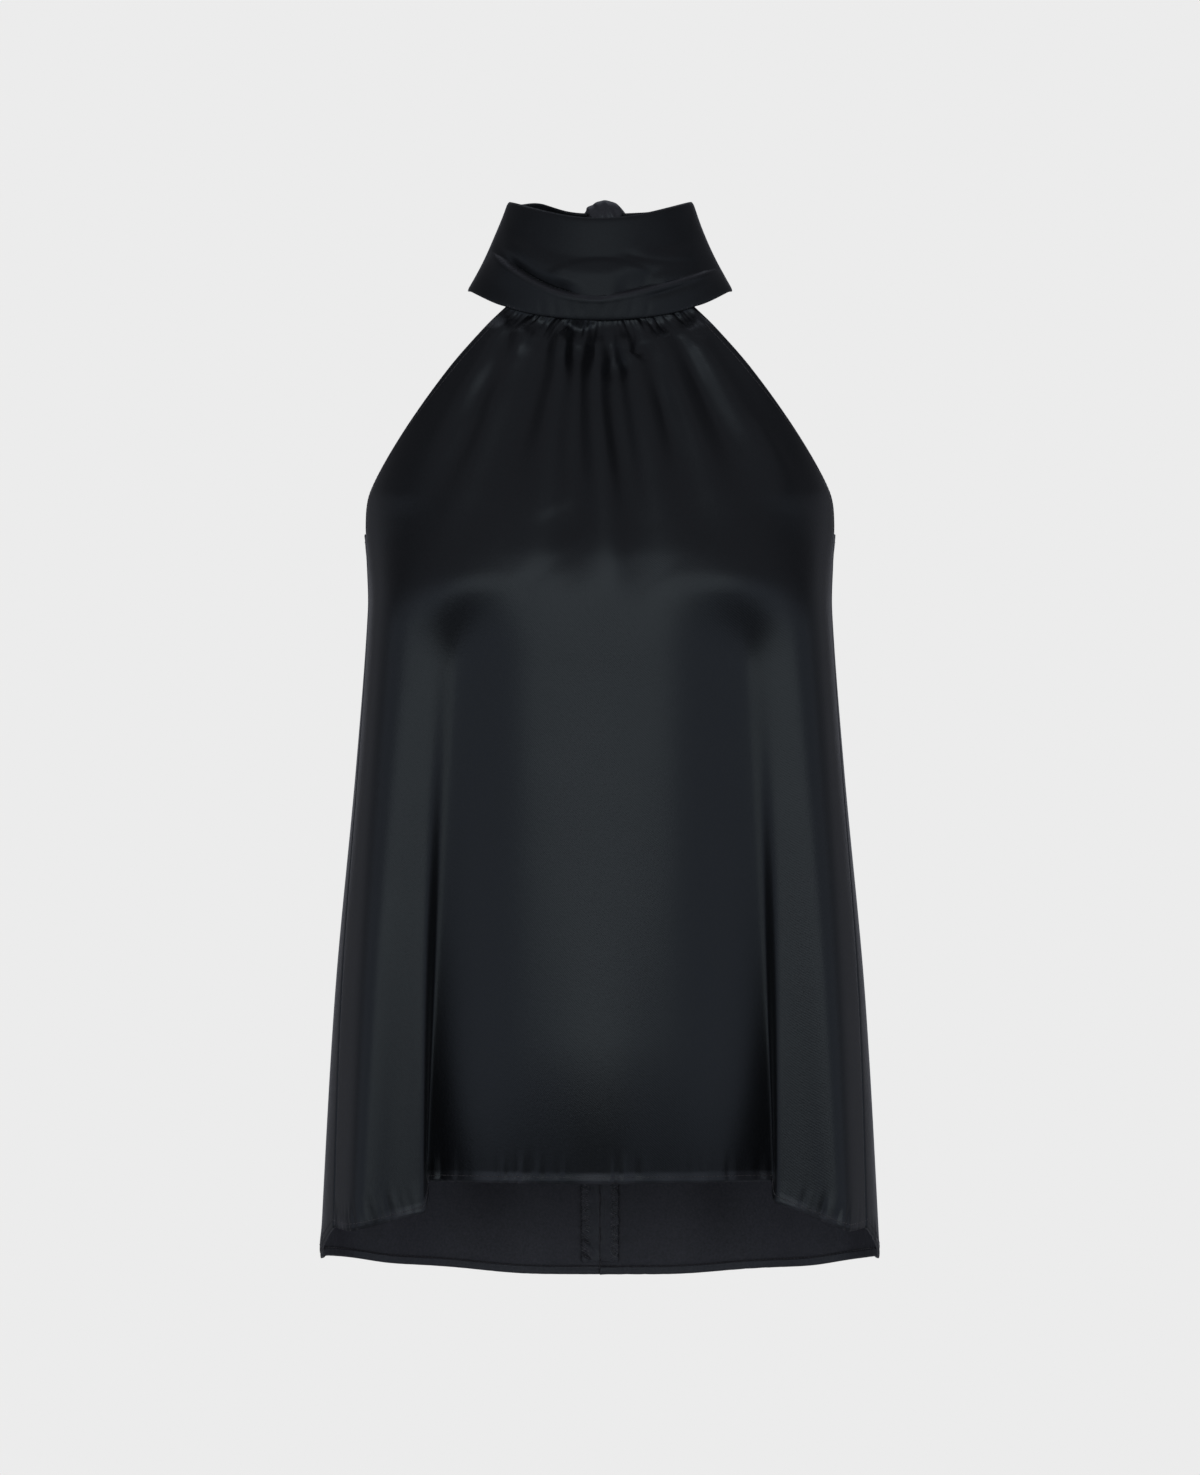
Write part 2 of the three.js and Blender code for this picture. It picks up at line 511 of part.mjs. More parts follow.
/** The knot: a rounded turn of cloth with folds that run slantwise over it. */
function knot() {
  const geometry = new THREE.SphereGeometry(1, KNOT_GRID.around, KNOT_GRID.up).rotateX(QUARTER);
  geometry.deleteAttribute("normal");
  geometry.deleteAttribute("uv");
  const merged = mergeVertices(geometry, 1e-4);
  const position = merged.getAttribute("position");
  const shape = KNOT_SHAPE;
  for (let i = 0; i < position.count; i++) {
    const p = new THREE.Vector3().fromBufferAttribute(position, i);
    const around = Math.atan2(p.y, p.x);
    const waist = 1 - shape.waist * bump(p.z / shape.waistTall);
    const wave = Math.cos(shape.folds * around + shape.twist * p.z);
    const square = 1 / power(Math.abs(p.x) ** 3 + Math.abs(p.y) ** 3 + Math.abs(p.z) ** 3, 1 / 3);
    const swell = mix(1, square, shape.square) * (1 + shape.foldDeep * wave * (1 - p.z ** 2));
    const rise = KNOT.tall * mix(1, square, shape.flat);
    position.setXYZ(i, KNOT.wide * waist * swell * p.x, KNOT.deep * swell * p.y, rise * p.z);
  }
  merged.translate(KNOT.x, KNOT.y, KNOT.z);
  merged.computeVertexNormals();
  return merged;
}

const TAIL_GRID = { across: 8, down: 18 };

function tieEnd(tail) {
  const step = 0.004;
  const surface = (across, down) => tailPoint(tail, across, down);
  const point = (across, down) => {
    const n = normal(surface, across, inside(0, 1, step, down), step, step);
    return { p: surface(across, down), n };
  };
  const columns = steps(TAIL_GRID.across).map((t) => 2 * t - 1);
  const rows = steps(TAIL_GRID.down).map((down) => columns.map((across) => point(across, down)));
  return wall(rows, -CLOTH / 2, CLOTH / 2);
}

// ---- Assembly ----

const satin = new THREE.MeshStandardMaterial({ color: "#16181b", roughness: 0.38, metalness: 0 });
const satinInside = new THREE.MeshStandardMaterial({ color: "#1b1d20", roughness: 0.6, metalness: 0 });

const blouse = new THREE.Group();

function add(name, geometry, material = satin) {
  const mesh = new THREE.Mesh(geometry, material);
  mesh.name = name;
  blouse.add(mesh);
}

add("front_panel", frontPanel());
add("front_hem", frontHem(), satinInside);
for (const [word, side] of [["left", -1], ["right", 1]]) {
  add(`armhole_hem_${word}`, armholeHem(side), satinInside);
  add(`back_panel_${word}`, backPanel(side));
  add(`back_hem_${word}`, backHem(side), satinInside);
  add(`back_top_hem_${word}`, backTopHem(side), satinInside);
  add(`seam_allowance_${word}`, seamAllowance(side), satinInside);
}
add("neck_band", neckBand());
add("tie_knot", knot());
for (const tail of TAILS) add(tail.name, tieEnd(tail));

export default blouse;
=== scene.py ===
"""The looks of a black satin halter blouse with a tie neck, over its CAD solids.

Each piece of cloth is a thin shell that follows the form of its solid, from the same named sizes, with its
creases, gathers, seams and stitches laid on. Sizes are millimetres, and metres from the stage on. Left and
right are the photo's, so left is the -X side. Angles of the cloth are degrees from the centre front.
"""

import math
from math import pi
from types import SimpleNamespace as Sizes

import bpy
import numpy as np
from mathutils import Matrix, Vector


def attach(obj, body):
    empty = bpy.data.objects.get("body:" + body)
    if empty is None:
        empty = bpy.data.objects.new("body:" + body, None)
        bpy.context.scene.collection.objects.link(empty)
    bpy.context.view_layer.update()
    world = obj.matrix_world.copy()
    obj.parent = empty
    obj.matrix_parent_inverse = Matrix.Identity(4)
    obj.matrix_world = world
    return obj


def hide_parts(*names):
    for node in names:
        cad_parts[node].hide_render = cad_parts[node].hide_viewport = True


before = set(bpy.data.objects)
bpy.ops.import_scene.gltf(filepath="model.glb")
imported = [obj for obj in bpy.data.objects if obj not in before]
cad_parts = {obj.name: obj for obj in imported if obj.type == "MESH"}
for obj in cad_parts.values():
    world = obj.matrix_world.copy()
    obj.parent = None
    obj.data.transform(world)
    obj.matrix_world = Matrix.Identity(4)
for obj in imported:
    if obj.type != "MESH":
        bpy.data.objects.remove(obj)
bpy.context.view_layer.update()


# ---- The sizes that the solids are made from ----

def table(columns, rows):
    """Rows of named sizes."""
    return [Sizes(**dict(zip(columns.split(), row))) for row in rows]


SECTIONS = table("z half front side back round", [
    (8, 47, -54, -41, 60, 2),
    (-4.5, 60.3, -58.5, -44.5, 62, 2),
    (-16, 71.8, -63, -47, 65, 1.9),
    (-45, 97, -76, -50, 70, 1.7),
    (-85, 125.8, -96, -45, 75, 1.35),
    (-123, 147.4, -113.5, -29, 78, 1.05),
    (-143, 151.6, -122, -9, 80, 0.84),
    (-168, 150.3, -131, -2, 84, 0.68),
    (-200, 149.4, -135.5, 0, 88, 0.6),
    (-300, 156.8, -138.5, 0, 95, 0.57),
    (-450, 170.6, -143.5, 0, 104, 0.56),
    (-650, 181.8, -150.5, 0, 115, 0.56),
])
GATHERS = table("neckX footX footZ wide deep", [
    (-55, -116, -118, 14, 2.8),
    (-49, -99, -122, 11, -2.6),
    (-42, -91, -138, 12, 2.6),
    (-35, -74, -132, 12, -3.2),
    (-27, -58, -120, 10, -3.2),
    (-20, -38, -150, 12, 3.2),
    (-13, -19, -172, 12, -5),
    (-4, 5, -170, 10, 3.8),
    (4, 25, -176, 12, -5),
    (14, 36, -140, 12, 3.2),
    (23, 58, -136, 12, -3.6),
    (32, 72, -130, 11, 2.8),
    (41, 93, -126, 12, -3.2),
    (50, 128, -146, 13, 2.8),
])
# Ridges have deep above 0 and valleys below it. inner is the half width on the side of the centre. soon is
# the share of its depth that a flute has right below its top, and lean how far it leans along X.
FLUTES = table("topX topZ hemX innerTop innerHem outerTop outerHem deep soon lean", [
    (-78, -176, -98, 24, 26, 20, 7, -27, 0.34, 0.5),
    (-132, -150, -154, 24, 20, 16, 15, 25, 0.58, 0),
    (80, -176, 98, 28, 26, 22, 7, -27, 0.34, -0.5),
    (132, -150, 155, 24, 20, 16, 15, 25, 0.58, 0),
    (-10, -240, 0, 44, 40, 44, 40, 15, 0, 0),
])
FLUTE_RUN = Sizes(hem_z=-600, spread=0.7, soon_by=0.14, bend=1.15)
FOLDS_FULL, FOLDS_GONE = 72, 90  # the front's folds die out between these angles
# Small swells of the bust, where the flutes start.
SWELLS = table("x z wide tall deep", [(-97, -187, 30, 22, 4.5), (94, -186, 30, 22, 4.5)])
HEM_CURL = Sizes(deep=12, above=90, half=100, starts=1.25, full=0.75)  # the front's hem swings in
BACK_FLUTES = table("angle wide deep", [(112, 12, 7), (128, 9, -8), (146, 11, 8), (163, 9, -6)])
BACK_FLUTE_TOP_Z = -190

NECK = Sizes(half=60.5, end_z=-4.2, front_z=-14.6, bow=0.8)
UNDERARM_Z, ARMHOLE_BEND_Z = -150, -112
SIDE_SEAM = Sizes(underarm=83, hem=70)
BACK_TOP_DROP = 17
FRONT_HEM = Sizes(centre=-558.3, sag=3.4, seam=-590.5)
# Where the front hem drops, in the valleys of the flutes, and the level it drops to.
HEM_STEP_LEFT, HEM_STEP_RIGHT = Sizes(x=-107, z=-578), Sizes(x=106, z=-570.5)
HEM_STEP_RUN, HEM_FALL = 8, 2.1
BACK_HEM = Sizes(side=-619.4, centre=-641.7, fall_left=0.7, fall_right=0.9)
HEM_DEPTH, ARMHOLE_HEM, ALLOWANCE = 6, 5, 12.5
BACK_LENGTH, BACK_HALF = 470, 250

BAND_LOW = Sizes(half=85.3, front=-62.5, back=56, corner=9.1, knot=31, round=1)
BAND_HIGH = Sizes(half=59.3, front=-51, back=52, corner=66.3, knot=64, round=1.15)
BAND_SHAPE = Sizes(pinch=2.2, dip=15, dip_bend=0.9, free_bend=1.3, rise_from=90, rise_to=172)
BAND_BACK_RISE = Sizes(by=4.6, at=138, half=17)  # its upper edge stands up beside the knot, on the left
BAND_CLOTH = 2.4
# The fold across the band: it stands forward and ends in a lip, which rises to both sides.
LIP = Sizes(z=-0.6, stand=2.2, drop=4, full=14, top=27, fade_from=52, fade_to=78)
LIP_LEFT, LIP_RIGHT, LIP_AT = Sizes(rise=27, power=2.2), Sizes(rise=17.2, power=1.4), 63

# How the front's gathered edge lies inside the band.
TUCK = Sizes(up=2.6, back=2.25, back_at_ends=0.9, lean=0.4, fade=16)
FRONT_TOP_Z = NECK.end_z + TUCK.up
FRONT_LENGTH = FRONT_TOP_Z - FRONT_HEM.seam

KNOT = Sizes(x=3.3, y=59, z=48.5, wide=17.4, deep=12.5, tall=25.6)
SHAPE = Sizes(waist=0.1, waist_tall=0.35, folds=3, fold_deep=0.055, twist=2.2, square=0.45, flat=0.2)
KNOT_MEETS = 0.93  # the share of the knot's half width at which the band ends
TAILS = {
    "tie_end_left": Sizes(top_x=-6, foot_x=-43, length=296, slant=-16, phase=12),
    "tie_end_right": Sizes(top_x=11, foot_x=44, length=272, slant=14, phase=13),
}

# ---- The detail that only the looks have ----

BAND_INTO_KNOT, TAIL_INTO_KNOT = 1.6, 5  # the band's ends and the tie ends go that far into the knot
SEAM_CLOSE = 0.05  # what is left open of a sewn seam, on each side of it
SHELL = (0.7, 0.15)  # faces of a single layer, from the middle of its solid's wall
TURNED = (-0.05, -0.5)  # faces of what is turned to the inside
BAND_FACES = (BAND_CLOTH / 2 - 0.1, -BAND_CLOTH / 2 + 0.5)
TAIL_FACE = 0.65
# The front's turned hem hangs out again, by this much for each millimetre down.
HEM_STRAIGHT = Sizes(by=0.3, starts=1.3, full=1.1)

# Grids: the start of each span and how many places it has.
FRONT_COLUMNS = 233
FRONT_ROWS = ((0, 78), (0.15, 48), (0.33, 58), (0.955, 14))
BACK_COLUMNS = ((0, 104), (1 - ALLOWANCE / BACK_HALF, 13))
BACK_ROWS = ((0, 8), (0.03, 104), (0.95, 18))
BAND_COLUMNS = 285
BAND_ROWS = ((1, 18), (0.62, 62))
KNOT_AROUND, KNOT_ROWS, KNOT_POLE, KNOT_FACE = 121, 73, 0.03, 0.9
TAIL_COLUMNS, TAIL_ROWS = 61, 150
ALLOWANCE_COLUMNS, ARMHOLE_HEM_COLUMNS = 13, 6
ARMHOLE_ROW = 0.02  # below here an armhole is free of the band

# A crease is a curve through three places (x, z), with the half width at its start and end, and how far it
# stands out, or in if deep is negative. A last 1, held, is for a start that runs on under a seam.
CREASE = "x0 z0 x1 z1 x2 z2 wide0 wide2 deep held"
FRONT_CREASES = table(CREASE, [
    # left of the middle
    (-57, -33, -76, -49, -99, -71, 4, 6, 2.6),
    (-50, -29, -56, -46, -66, -72, 3, 5, -2),
    (-80, -73, -95, -98, -110, -130, 2.6, 3.6, 1.4),
    (-70, -68, -84, -96, -97, -126, 3.5, 5.5, -1.3),
    (-31, -25, -39, -76, -71, -146, 3, 7, -2.8),
    (-29, -28, -36, -76, -52, -114, 2.8, 5, 1.7),
    (-25, -48, -24, -88, -22, -128, 3.5, 6, -1.9),
    (-30, -134, -22, -148, -14, -160, 8, 9, -1.8),
    (-46, -14, -54, -24, -64, -36, 1.6, 3, 1.5, 1),
    (-52, -12, -61, -22, -70, -30, 1.6, 2.6, -1.4, 1),
    # over the middle
    (-6, -20, -4, -84, 11, -152, 3, 6, 1.9, 1),
    (2, -46, 8, -88, 22, -155, 3, 6.5, -2.6),
    (0, -42, 12, -48, 23, -38, 4, 3.2, -3),
    (22, -40, 24, -31, 19, -17, 3.2, 2.6, -6.5),
    # right of the middle
    (29, -20, 35, -80, 43, -118, 3.6, 7, 1.8, 1),
    (33, -48, 47, -88, 61, -126, 3, 6, -2.4),
    (39, -18, 43, -38, 49, -60, 2.4, 4, -2.2, 1),
    (56, -32, 74, -76, 98, -116, 3, 6, -2.4),
    (93, -69, 112, -101, 127, -131, 2.6, 3.6, 1.5),
    (84, -70, 102, -104, 117, -136, 3.5, 5.5, -1.3),
    (45, -14, 55, -26, 68, -38, 1.8, 3.4, 1.4, 1),
    (53, -12, 61, -21, 70, -29, 1.6, 2.4, -1.3, 1),
    # the deep hollows right below the seam
    (-35, -16, -37, -24, -43, -34, 3.2, 4, -2.8, 1),
    (-16, -17, -15, -34, -19, -58, 3.4, 4.5, -7, 1),
    (-7, -17, -6, -34, -8, -60, 3, 4, -6, 1),
    (-25, -17, -27, -32, -32, -52, 3, 4, 2.4, 1),
    (33, -16, 36, -26, 41, -37, 2.4, 3.2, -2.2, 1),
    (48, -13, 54, -22, 62, -32, 2, 3.2, -1.6, 1),
    # wisps below the bust
    (-52, -176, -38, -196, -22, -232, 9, 14, -1.1),
    (-30, -170, -18, -188, -8, -214, 7, 12, 0.9),
    (12, -168, 24, -190, 34, -226, 8, 13, -1.1),
    (44, -172, 52, -192, 50, -222, 9, 13, 0.9),
])
FRONT_CREASE_SHARE = 0.55
CREASES_START, CREASES_FULL = -1, 6  # below the neckline's seam
BACK_CREASES = table(CREASE, [
    (30, -172, 44, -230, 52, -330, 7, 13, -1.8),
    (62, -168, 70, -216, 68, -300, 6, 11, 1.6),
    (96, -164, 104, -200, 108, -268, 6, 10, -1.6),
    (120, -160, 112, -190, 92, -236, 5, 9, 1.2),
    (16, -300, 22, -380, 34, -470, 8, 12, 1.2),
    (84, -420, 92, -500, 98, -600, 9, 13, -1.6),
])
BACK_CREASE_SHIFT = 6  # the left half's creases lie that much off the right half's
BAND_CREASES = table(CREASE, [
    (-64, 29, -47, 21, -22, 7, 2.2, 3.4, -1),
    (-60, 34, -44, 27, -30, 22, 4.5, 4.5, 0.5),
    (12, 30.6, 37, 24.4, 78, 25.8, 1.3, 1.3, -0.6),
    (14, 35, 40, 29, 76, 31, 3.2, 3.2, 0.4),
    (26, 8, 44, 14.5, 60, 20, 2.2, 2.2, 0.8),
    (25, -1, 46, 5.2, 72, 16, 1.4, 1.6, -0.9),
    (-80, 14, -62, 7, -44, -2, 4, 4, -0.5),
    (50, 40, 56, 52, 55, 60, 5, 5, -0.4),
    (-52, 60, -45, 50, -40, 40, 6, 5, 0.4),
])
BAND_FRONT_FULL, BAND_FRONT_GONE = 80, 96  # the band's creases die out between these angles
# The lip's edge, with a light line painted along it as a highlight, and the dark pockets above it.
LIP_EDGE = Sizes(width=1.4, roll=1.8, soft=0.4, shine_at=-0.1, shine_half=0.8)
LIP_POCKETS = table("x0 x1 soft tall deep", [(-68, -8, 18, 11, 4.2), (4, 42, 14, 19, 3.6)])
# The belly above the lip: an arc at its top, sagging flat below it between left and right.
BELLY = Sizes(arc_z=26.3, fall=6.6, half=31, stand=0.9, run=4.5, soft=0.5, starts=1.25, full=0.8)
BELLY_SAG = Sizes(by=1.5, over=22, left=-32, left_soft=12, right=10, right_soft=9)
FINE = Sizes(share=0.5, turns=4.3, phase=1, foot=0.08, top=0.96, gone=1.02)  # the band's second wave
STRIP_PLEATS_X = (-37, -28.5, -19, -11, 1.5, 11, 19.5, 30)

# The small uneven pleats right under the neckline, as ranges to draw from.
PLEATS = dict(deep=(0.35, 0.95), wide=(0.8, 1.7), run=(5, 17), lean=(-0.14, 0.14), apart=(1.4, 3.6))
# Uneven waves: the seed, how many sines, and their shortest and longest length.
WAVES = dict(seam=(40, 5, 7, 21), allowance=(50, 4, 6, 16), band=(61, 4, 22, 60), gloss=(81, 5, 6, 90))
for hem, seed in (("front_hem", 3), ("back_hem", 20), ("top_hem", 30)):
    WAVES[hem], WAVES[f"{hem}_slow"] = (seed, 5, 5.5, 15), (seed + 70, 3, 40, 110)
# A painted highlight along the front's hem: its colour lighter there, unevenly along it.
HEM_PAINTED_SHEEN = Sizes(level=0.38, by=0.34, soft=0.5)
SEAM_PULL = Sizes(deep=0.5, reach=11)
BAND_WAVES = Sizes(deep=0.25, slant=0.4, less_in_front=0.7)
# The allowances stand off their panel and pucker towards their free edge. Shares of their width.
ALLOWANCE_LIFT = Sizes(least=0.15, by=2.4, slant=0.9, starts=0.1, full=0.9, falls_from=5 / 6, gone=11 / 9)

# How deep an edge is drawn in, and how far that reaches.
ROLLS = dict(side=(0.5, 0.9), front_hem=(0.4, 0.7), centre=(0.6, 0.9), back_hem=(0.3, 0.7),
             band_top=(0.7, 1.0), band_foot=(0.5, 0.8))

STITCH = Sizes(pitch=2.9, length=2.2)
STITCH_OUT, STITCH_IN = SHELL[0] + 0.05, -0.6
SEAM_STITCH_IN = 0.25
NECK_STITCH = Sizes(start=1, pitch=1.9, lean=0.25, turn=1.7)
NECK_STITCH_PATH = ((1.12, 0, 0.5), (1.22, 0.5, 1.3), (1.18, 1, 2.2))  # lift, share of its lean, and up
OVERLOCK = Sizes(start=0.8, end=1, pitch=1.5, lift=0.72)
OVERLOCK_COLUMNS = ((0, 3), (2, 5))

# The knot's wraps and the fine lines on them, and the tie ends' pleats and waves.
WRAPS = Sizes(across=1.15, up=0.42, bend=3, bends=1.4, apart=15, phase=0.35, sharp=0.55, level=0.62)
WRAP_DEEP = 1.15
WRAP_LINES = Sizes(deep=0.35, turns=0.9, bend=1.2, bends=2.1, phase=0.8)
TAIL_PLEATS = Sizes(deep=0.9, turns=3.2, sway=1.1, sway_over=60, fade=70)
TAIL_WAVES = Sizes(deep=0.8, turns=1.9, over=95, starts=20, full=90, fades_from=200, gone=330)


# ---- Small helpers ----

def mix(a, b, t):
    return a + (b - a) * t


def unit(t):
    return np.clip(t, 0, 1)


def ease(a, b, v):
    t = unit((v - a) / (b - a))
    return t * t * (3 - 2 * t)


def within(a, b, c, d, v):
    """Rises from a to b, and falls from c to d."""
    return ease(a, b, v) * ease(d, c, v)


def bump(u):
    return np.exp(-u * u)


def power(base, exponent):
    return np.maximum(base, 0) ** exponent


def sine(degrees):
    return np.sin(np.radians(degrees))


def spaced(spans, end):
    """Places from the first span's start to the end, each span evenly filled up to the next one's start."""
    starts = [start for start, _ in spans] + [end]
    last = len(spans) - 1
    return np.concatenate([
        np.linspace(start, starts[k + 1], count, endpoint=k == last) for k, (start, count) in enumerate(spans)
    ])


def section(name, z):
    """The value of one column of SECTIONS at the levels z, on a smooth curve through the rows."""
    levels, values = (np.array([getattr(row, column) for row in SECTIONS], float) for column in ("z", name))
    last = len(levels) - 1
    row = np.arange(last + 1)
    before, after = np.maximum(row - 1, 0), np.minimum(row + 1, last)
    slopes = (values[after] - values[before]) / (levels[after] - levels[before])
    z = np.asarray(z, float)
    i = (levels[1:last] > z[..., None]).sum(-1)
    run = levels[i + 1] - levels[i]
    t = unit((z - levels[i]) / run)
    t2, t3 = t * t, t * t * t
    return (
        values[i] * (2 * t3 - 3 * t2 + 1)
        + slopes[i] * run * (t3 - 2 * t2 + t)
        + values[i + 1] * (3 * t2 - 2 * t3)
        + slopes[i + 1] * run * (t3 - t2)
    )


def creases(rows, x, z, steps=12, spread=1.7, reach=3, full_at=0.3, fades_from=0.45):
    """The sum of a table of creases at the places (x, z)."""
    total = np.zeros_like(x)
    for c in rows:
        s = np.linspace(0, 1, steps + 1)
        ways = [(1 - s) * (1 - 2 * s), 4 * s * (1 - s), s * (2 * s - 1)]
        ends = (c.x0, c.x1, c.x2), (c.z0, c.z1, c.z2)
        path_x, path_z = (sum(w * v for w, v in zip(ways, way)) for way in ends)
        room = reach * max(c.wide0, c.wide2)
        near = (x > path_x.min() - room) & (x < path_x.max() + room)
        near &= (z > path_z.min() - room) & (z < path_z.max() + room)
        px, pz = x[near], z[near]
        best = np.full(px.shape, np.inf)
        along = np.zeros(px.shape)
        for k in range(steps):
            dx, dz = path_x[k + 1] - path_x[k], path_z[k + 1] - path_z[k]
            t = unit(((px - path_x[k]) * dx + (pz - path_z[k]) * dz) / (dx * dx + dz * dz))
            off = np.hypot(px - path_x[k] - t * dx, pz - path_z[k] - t * dz)
            nearer = off < best
            best = np.where(nearer, off, best)
            along = np.where(nearer, (k + t) / steps, along)
        rise = 1 if hasattr(c, "held") else ease(0, full_at, along)
        wide = spread * mix(c.wide0, c.wide2, along)
        total[near] += c.deep * rise * ease(1, fades_from, along) * bump(best / wide)
    return total


def ripple(name, s, side=0):
    """A gentle uneven wave along s, the same each run: a few sines of uneven length."""
    seed, count, shortest, longest = WAVES[name]
    rng = np.random.default_rng(seed + side)
    lengths = rng.uniform(shortest, longest, count)
    phases = rng.uniform(0, 2 * pi, count)
    return sum(np.sin(2 * pi * s / l + p) for l, p in zip(lengths, phases)) / math.sqrt(count)


# ---- The cloth's middle surface, as the solids have it ----

def neck_z(x):
    return mix(NECK.end_z, NECK.front_z, power(1 - (x / NECK.half) ** 2, NECK.bow))


def flutes(x, z):
    """How far the flutes stand forward at (x, z), and how far they lean along x."""
    forward, along = np.zeros_like(x), np.zeros_like(x)
    for f in FLUTES:
        t = (f.topZ - z) / (f.topZ - FLUTE_RUN.hem_z)
        down = unit(t)
        middle = mix(f.topX, f.hemX, down ** FLUTE_RUN.spread)
        inner, outer = mix(f.innerTop, f.innerHem, down), mix(f.outerTop, f.outerHem, down)
        left, right = (inner, outer) if f.hemX > 0 else (outer, inner)
        depth = f.soon * ease(0, FLUTE_RUN.soon_by, t) + (1 - f.soon) * down ** FLUTE_RUN.bend
        part = f.deep * depth * bump((x - middle) / np.where(x < middle, left, right))
        forward += part
        along += f.lean * part
    return forward, along


def front_folds(x, z, half_at_neck=3.2, bend=0.9, starts=-0.02, full_at=0.16, fades_from=0.55, gone_at=1.3):
    """How far the front's folds stand forward. A gather is narrow at the neckline, and its starts, full_at,
    fades_from and gone_at are shares of its way down."""
    total = np.zeros_like(x)
    for g in GATHERS:
        top = neck_z(g.neckX)
        t = (top - z) / (top - g.footZ)
        middle = mix(g.neckX, g.footX, unit(t) ** bend + np.maximum(t - 1, 0))
        half = mix(half_at_neck, g.wide, np.sqrt(unit(t)))
        fade = ease(starts, full_at, t) * (1 - ease(fades_from, gone_at, t))
        total += g.deep * fade * bump((x - middle) / half)
    total += flutes(x, z)[0]
    for s in SWELLS:
        total += s.deep * bump((x - s.x) / s.wide) * bump((z - s.z) / s.tall)
    near_hem = unit(1 - (z - FRONT_HEM.centre) / HEM_CURL.above)
    between = ease(HEM_CURL.starts, HEM_CURL.full, np.abs(x) / HEM_CURL.half)
    return total - HEM_CURL.deep * near_hem**2 * between


def back_folds(degrees, z):
    t = unit((BACK_FLUTE_TOP_Z - z) / (BACK_FLUTE_TOP_Z - FLUTE_RUN.hem_z))
    return sum(f.deep * t * bump((degrees - f.angle) / f.wide) for f in BACK_FLUTES)


def folds_fade(degrees):
    return ease(FOLDS_GONE, FOLDS_FULL, np.abs(degrees))


def body_y(degrees, x, z):
    """How far back the body cloth lies at an angle from the centre front, at x and the level z."""
    turn = np.abs(degrees)
    reach = power(np.abs(np.cos(np.radians(turn))), section("round", z))
    side = section("side", z)
    front = side + (section("front", z) - side) * reach - front_folds(x, z) * folds_fade(turn)
    back = side + (section("back", z) - side) * reach + back_folds(turn, z) * reach
    return np.where(turn <= 90, front, back)


def front_edge(z):
    """The angle where the front ends: at the armhole or, below the underarm, at the side seam."""
    above = mix(90, SIDE_SEAM.underarm, ease(ARMHOLE_BEND_Z, UNDERARM_Z, z))
    fallen = unit((UNDERARM_Z - z) / (UNDERARM_Z - FRONT_HEM.seam))
    return np.where(z > UNDERARM_Z, above, mix(SIDE_SEAM.underarm, SIDE_SEAM.hem, fallen))


def front_hem_z(x):
    step_x = np.where(x < 0, HEM_STEP_LEFT.x, HEM_STEP_RIGHT.x)
    step_z = np.where(x < 0, HEM_STEP_LEFT.z, HEM_STEP_RIGHT.z)
    across = x / step_x
    run = HEM_STEP_RUN / np.abs(step_x) / 2
    outer = mix(step_z, FRONT_HEM.seam, unit((across - 1) * HEM_FALL))
    return mix(FRONT_HEM.centre - FRONT_HEM.sag * across**2, outer, ease(1 - run, 1 + run, across))


def back_hem_z(side, degrees):
    to_side = unit((degrees - SIDE_SEAM.hem) / (90 - SIDE_SEAM.hem))
    to_centre = np.maximum(-np.cos(np.radians(degrees)), 0)
    fall = BACK_HEM.fall_left if side < 0 else BACK_HEM.fall_right
    start = mix(FRONT_HEM.seam, BACK_HEM.side, to_side)
    return mix(start, BACK_HEM.centre, mix(to_centre**3, to_centre, fall))


HEM_HALF = float(section("half", FRONT_HEM.seam)) * math.sin(math.radians(SIDE_SEAM.hem))


def front_surface(across, down):
    """Points of the front's middle surface, for a row of across (-1 to 1) and a column of down (0 to 1)."""
    across, down = np.meshgrid(across, down)
    edge_z = FRONT_TOP_Z - FRONT_LENGTH * down
    half = section("half", edge_z)
    sewn = edge_z <= UNDERARM_Z + 0.01
    edge = np.radians(front_edge(edge_z) - np.where(sewn, np.degrees(SEAM_CLOSE / half), 0))
    edge_x = half * np.sin(edge)
    x = mix(half * np.sin(across * edge), edge_x * across, unit(section("round", edge_z) - 1))
    neck_drop = neck_z(x * NECK.half / edge_x) - NECK.end_z
    z = edge_z + mix(neck_drop, front_hem_z(x * HEM_HALF / edge_x) - FRONT_HEM.seam, down)
    degrees = np.degrees(np.arcsin(np.clip(x / section("half", z), -1, 1)))
    from_centre = np.minimum(np.abs(x), NECK.half) / BAND_LOW.half
    band_y = BAND_LOW.front * power(1 - from_centre**2, BAND_LOW.round / 2)
    below = neck_z(x) - z
    behind = TUCK.back * (1 + TUCK.back_at_ends * from_centre**2) - TUCK.lean * np.minimum(below, 0)
    y = mix(body_y(degrees, x, z), band_y + behind, 1 - ease(0, TUCK.fade, below))
    return np.stack([x + flutes(x, z)[1] * folds_fade(degrees), y, z], -1)


def back_surface(side, across, down):
    """Points of one side of the back: across is 0 at the side seam and 1 at the centre back."""
    across, down = np.meshgrid(across, down)
    edge_z = mix(UNDERARM_Z, FRONT_HEM.seam, down)
    trim = np.degrees(SEAM_CLOSE / section("half", edge_z))
    degrees = mix(front_edge(edge_z) + trim, 180 - trim, across)
    even = mix(SIDE_SEAM.underarm, 180, across)
    top_z = UNDERARM_Z - BACK_TOP_DROP * ease(SIDE_SEAM.underarm, 180, even)
    z = mix(top_z, back_hem_z(side, mix(SIDE_SEAM.hem, 180, across)), down)
    x = side * section("half", z) * sine(degrees)
    return np.stack([x, body_y(degrees, x, z), z], -1)


def lip_z(x):
    left, right = (lip.rise * np.abs(x / LIP_AT) ** lip.power for lip in (LIP_LEFT, LIP_RIGHT))
    return LIP.z + np.where(x < 0, left, right)


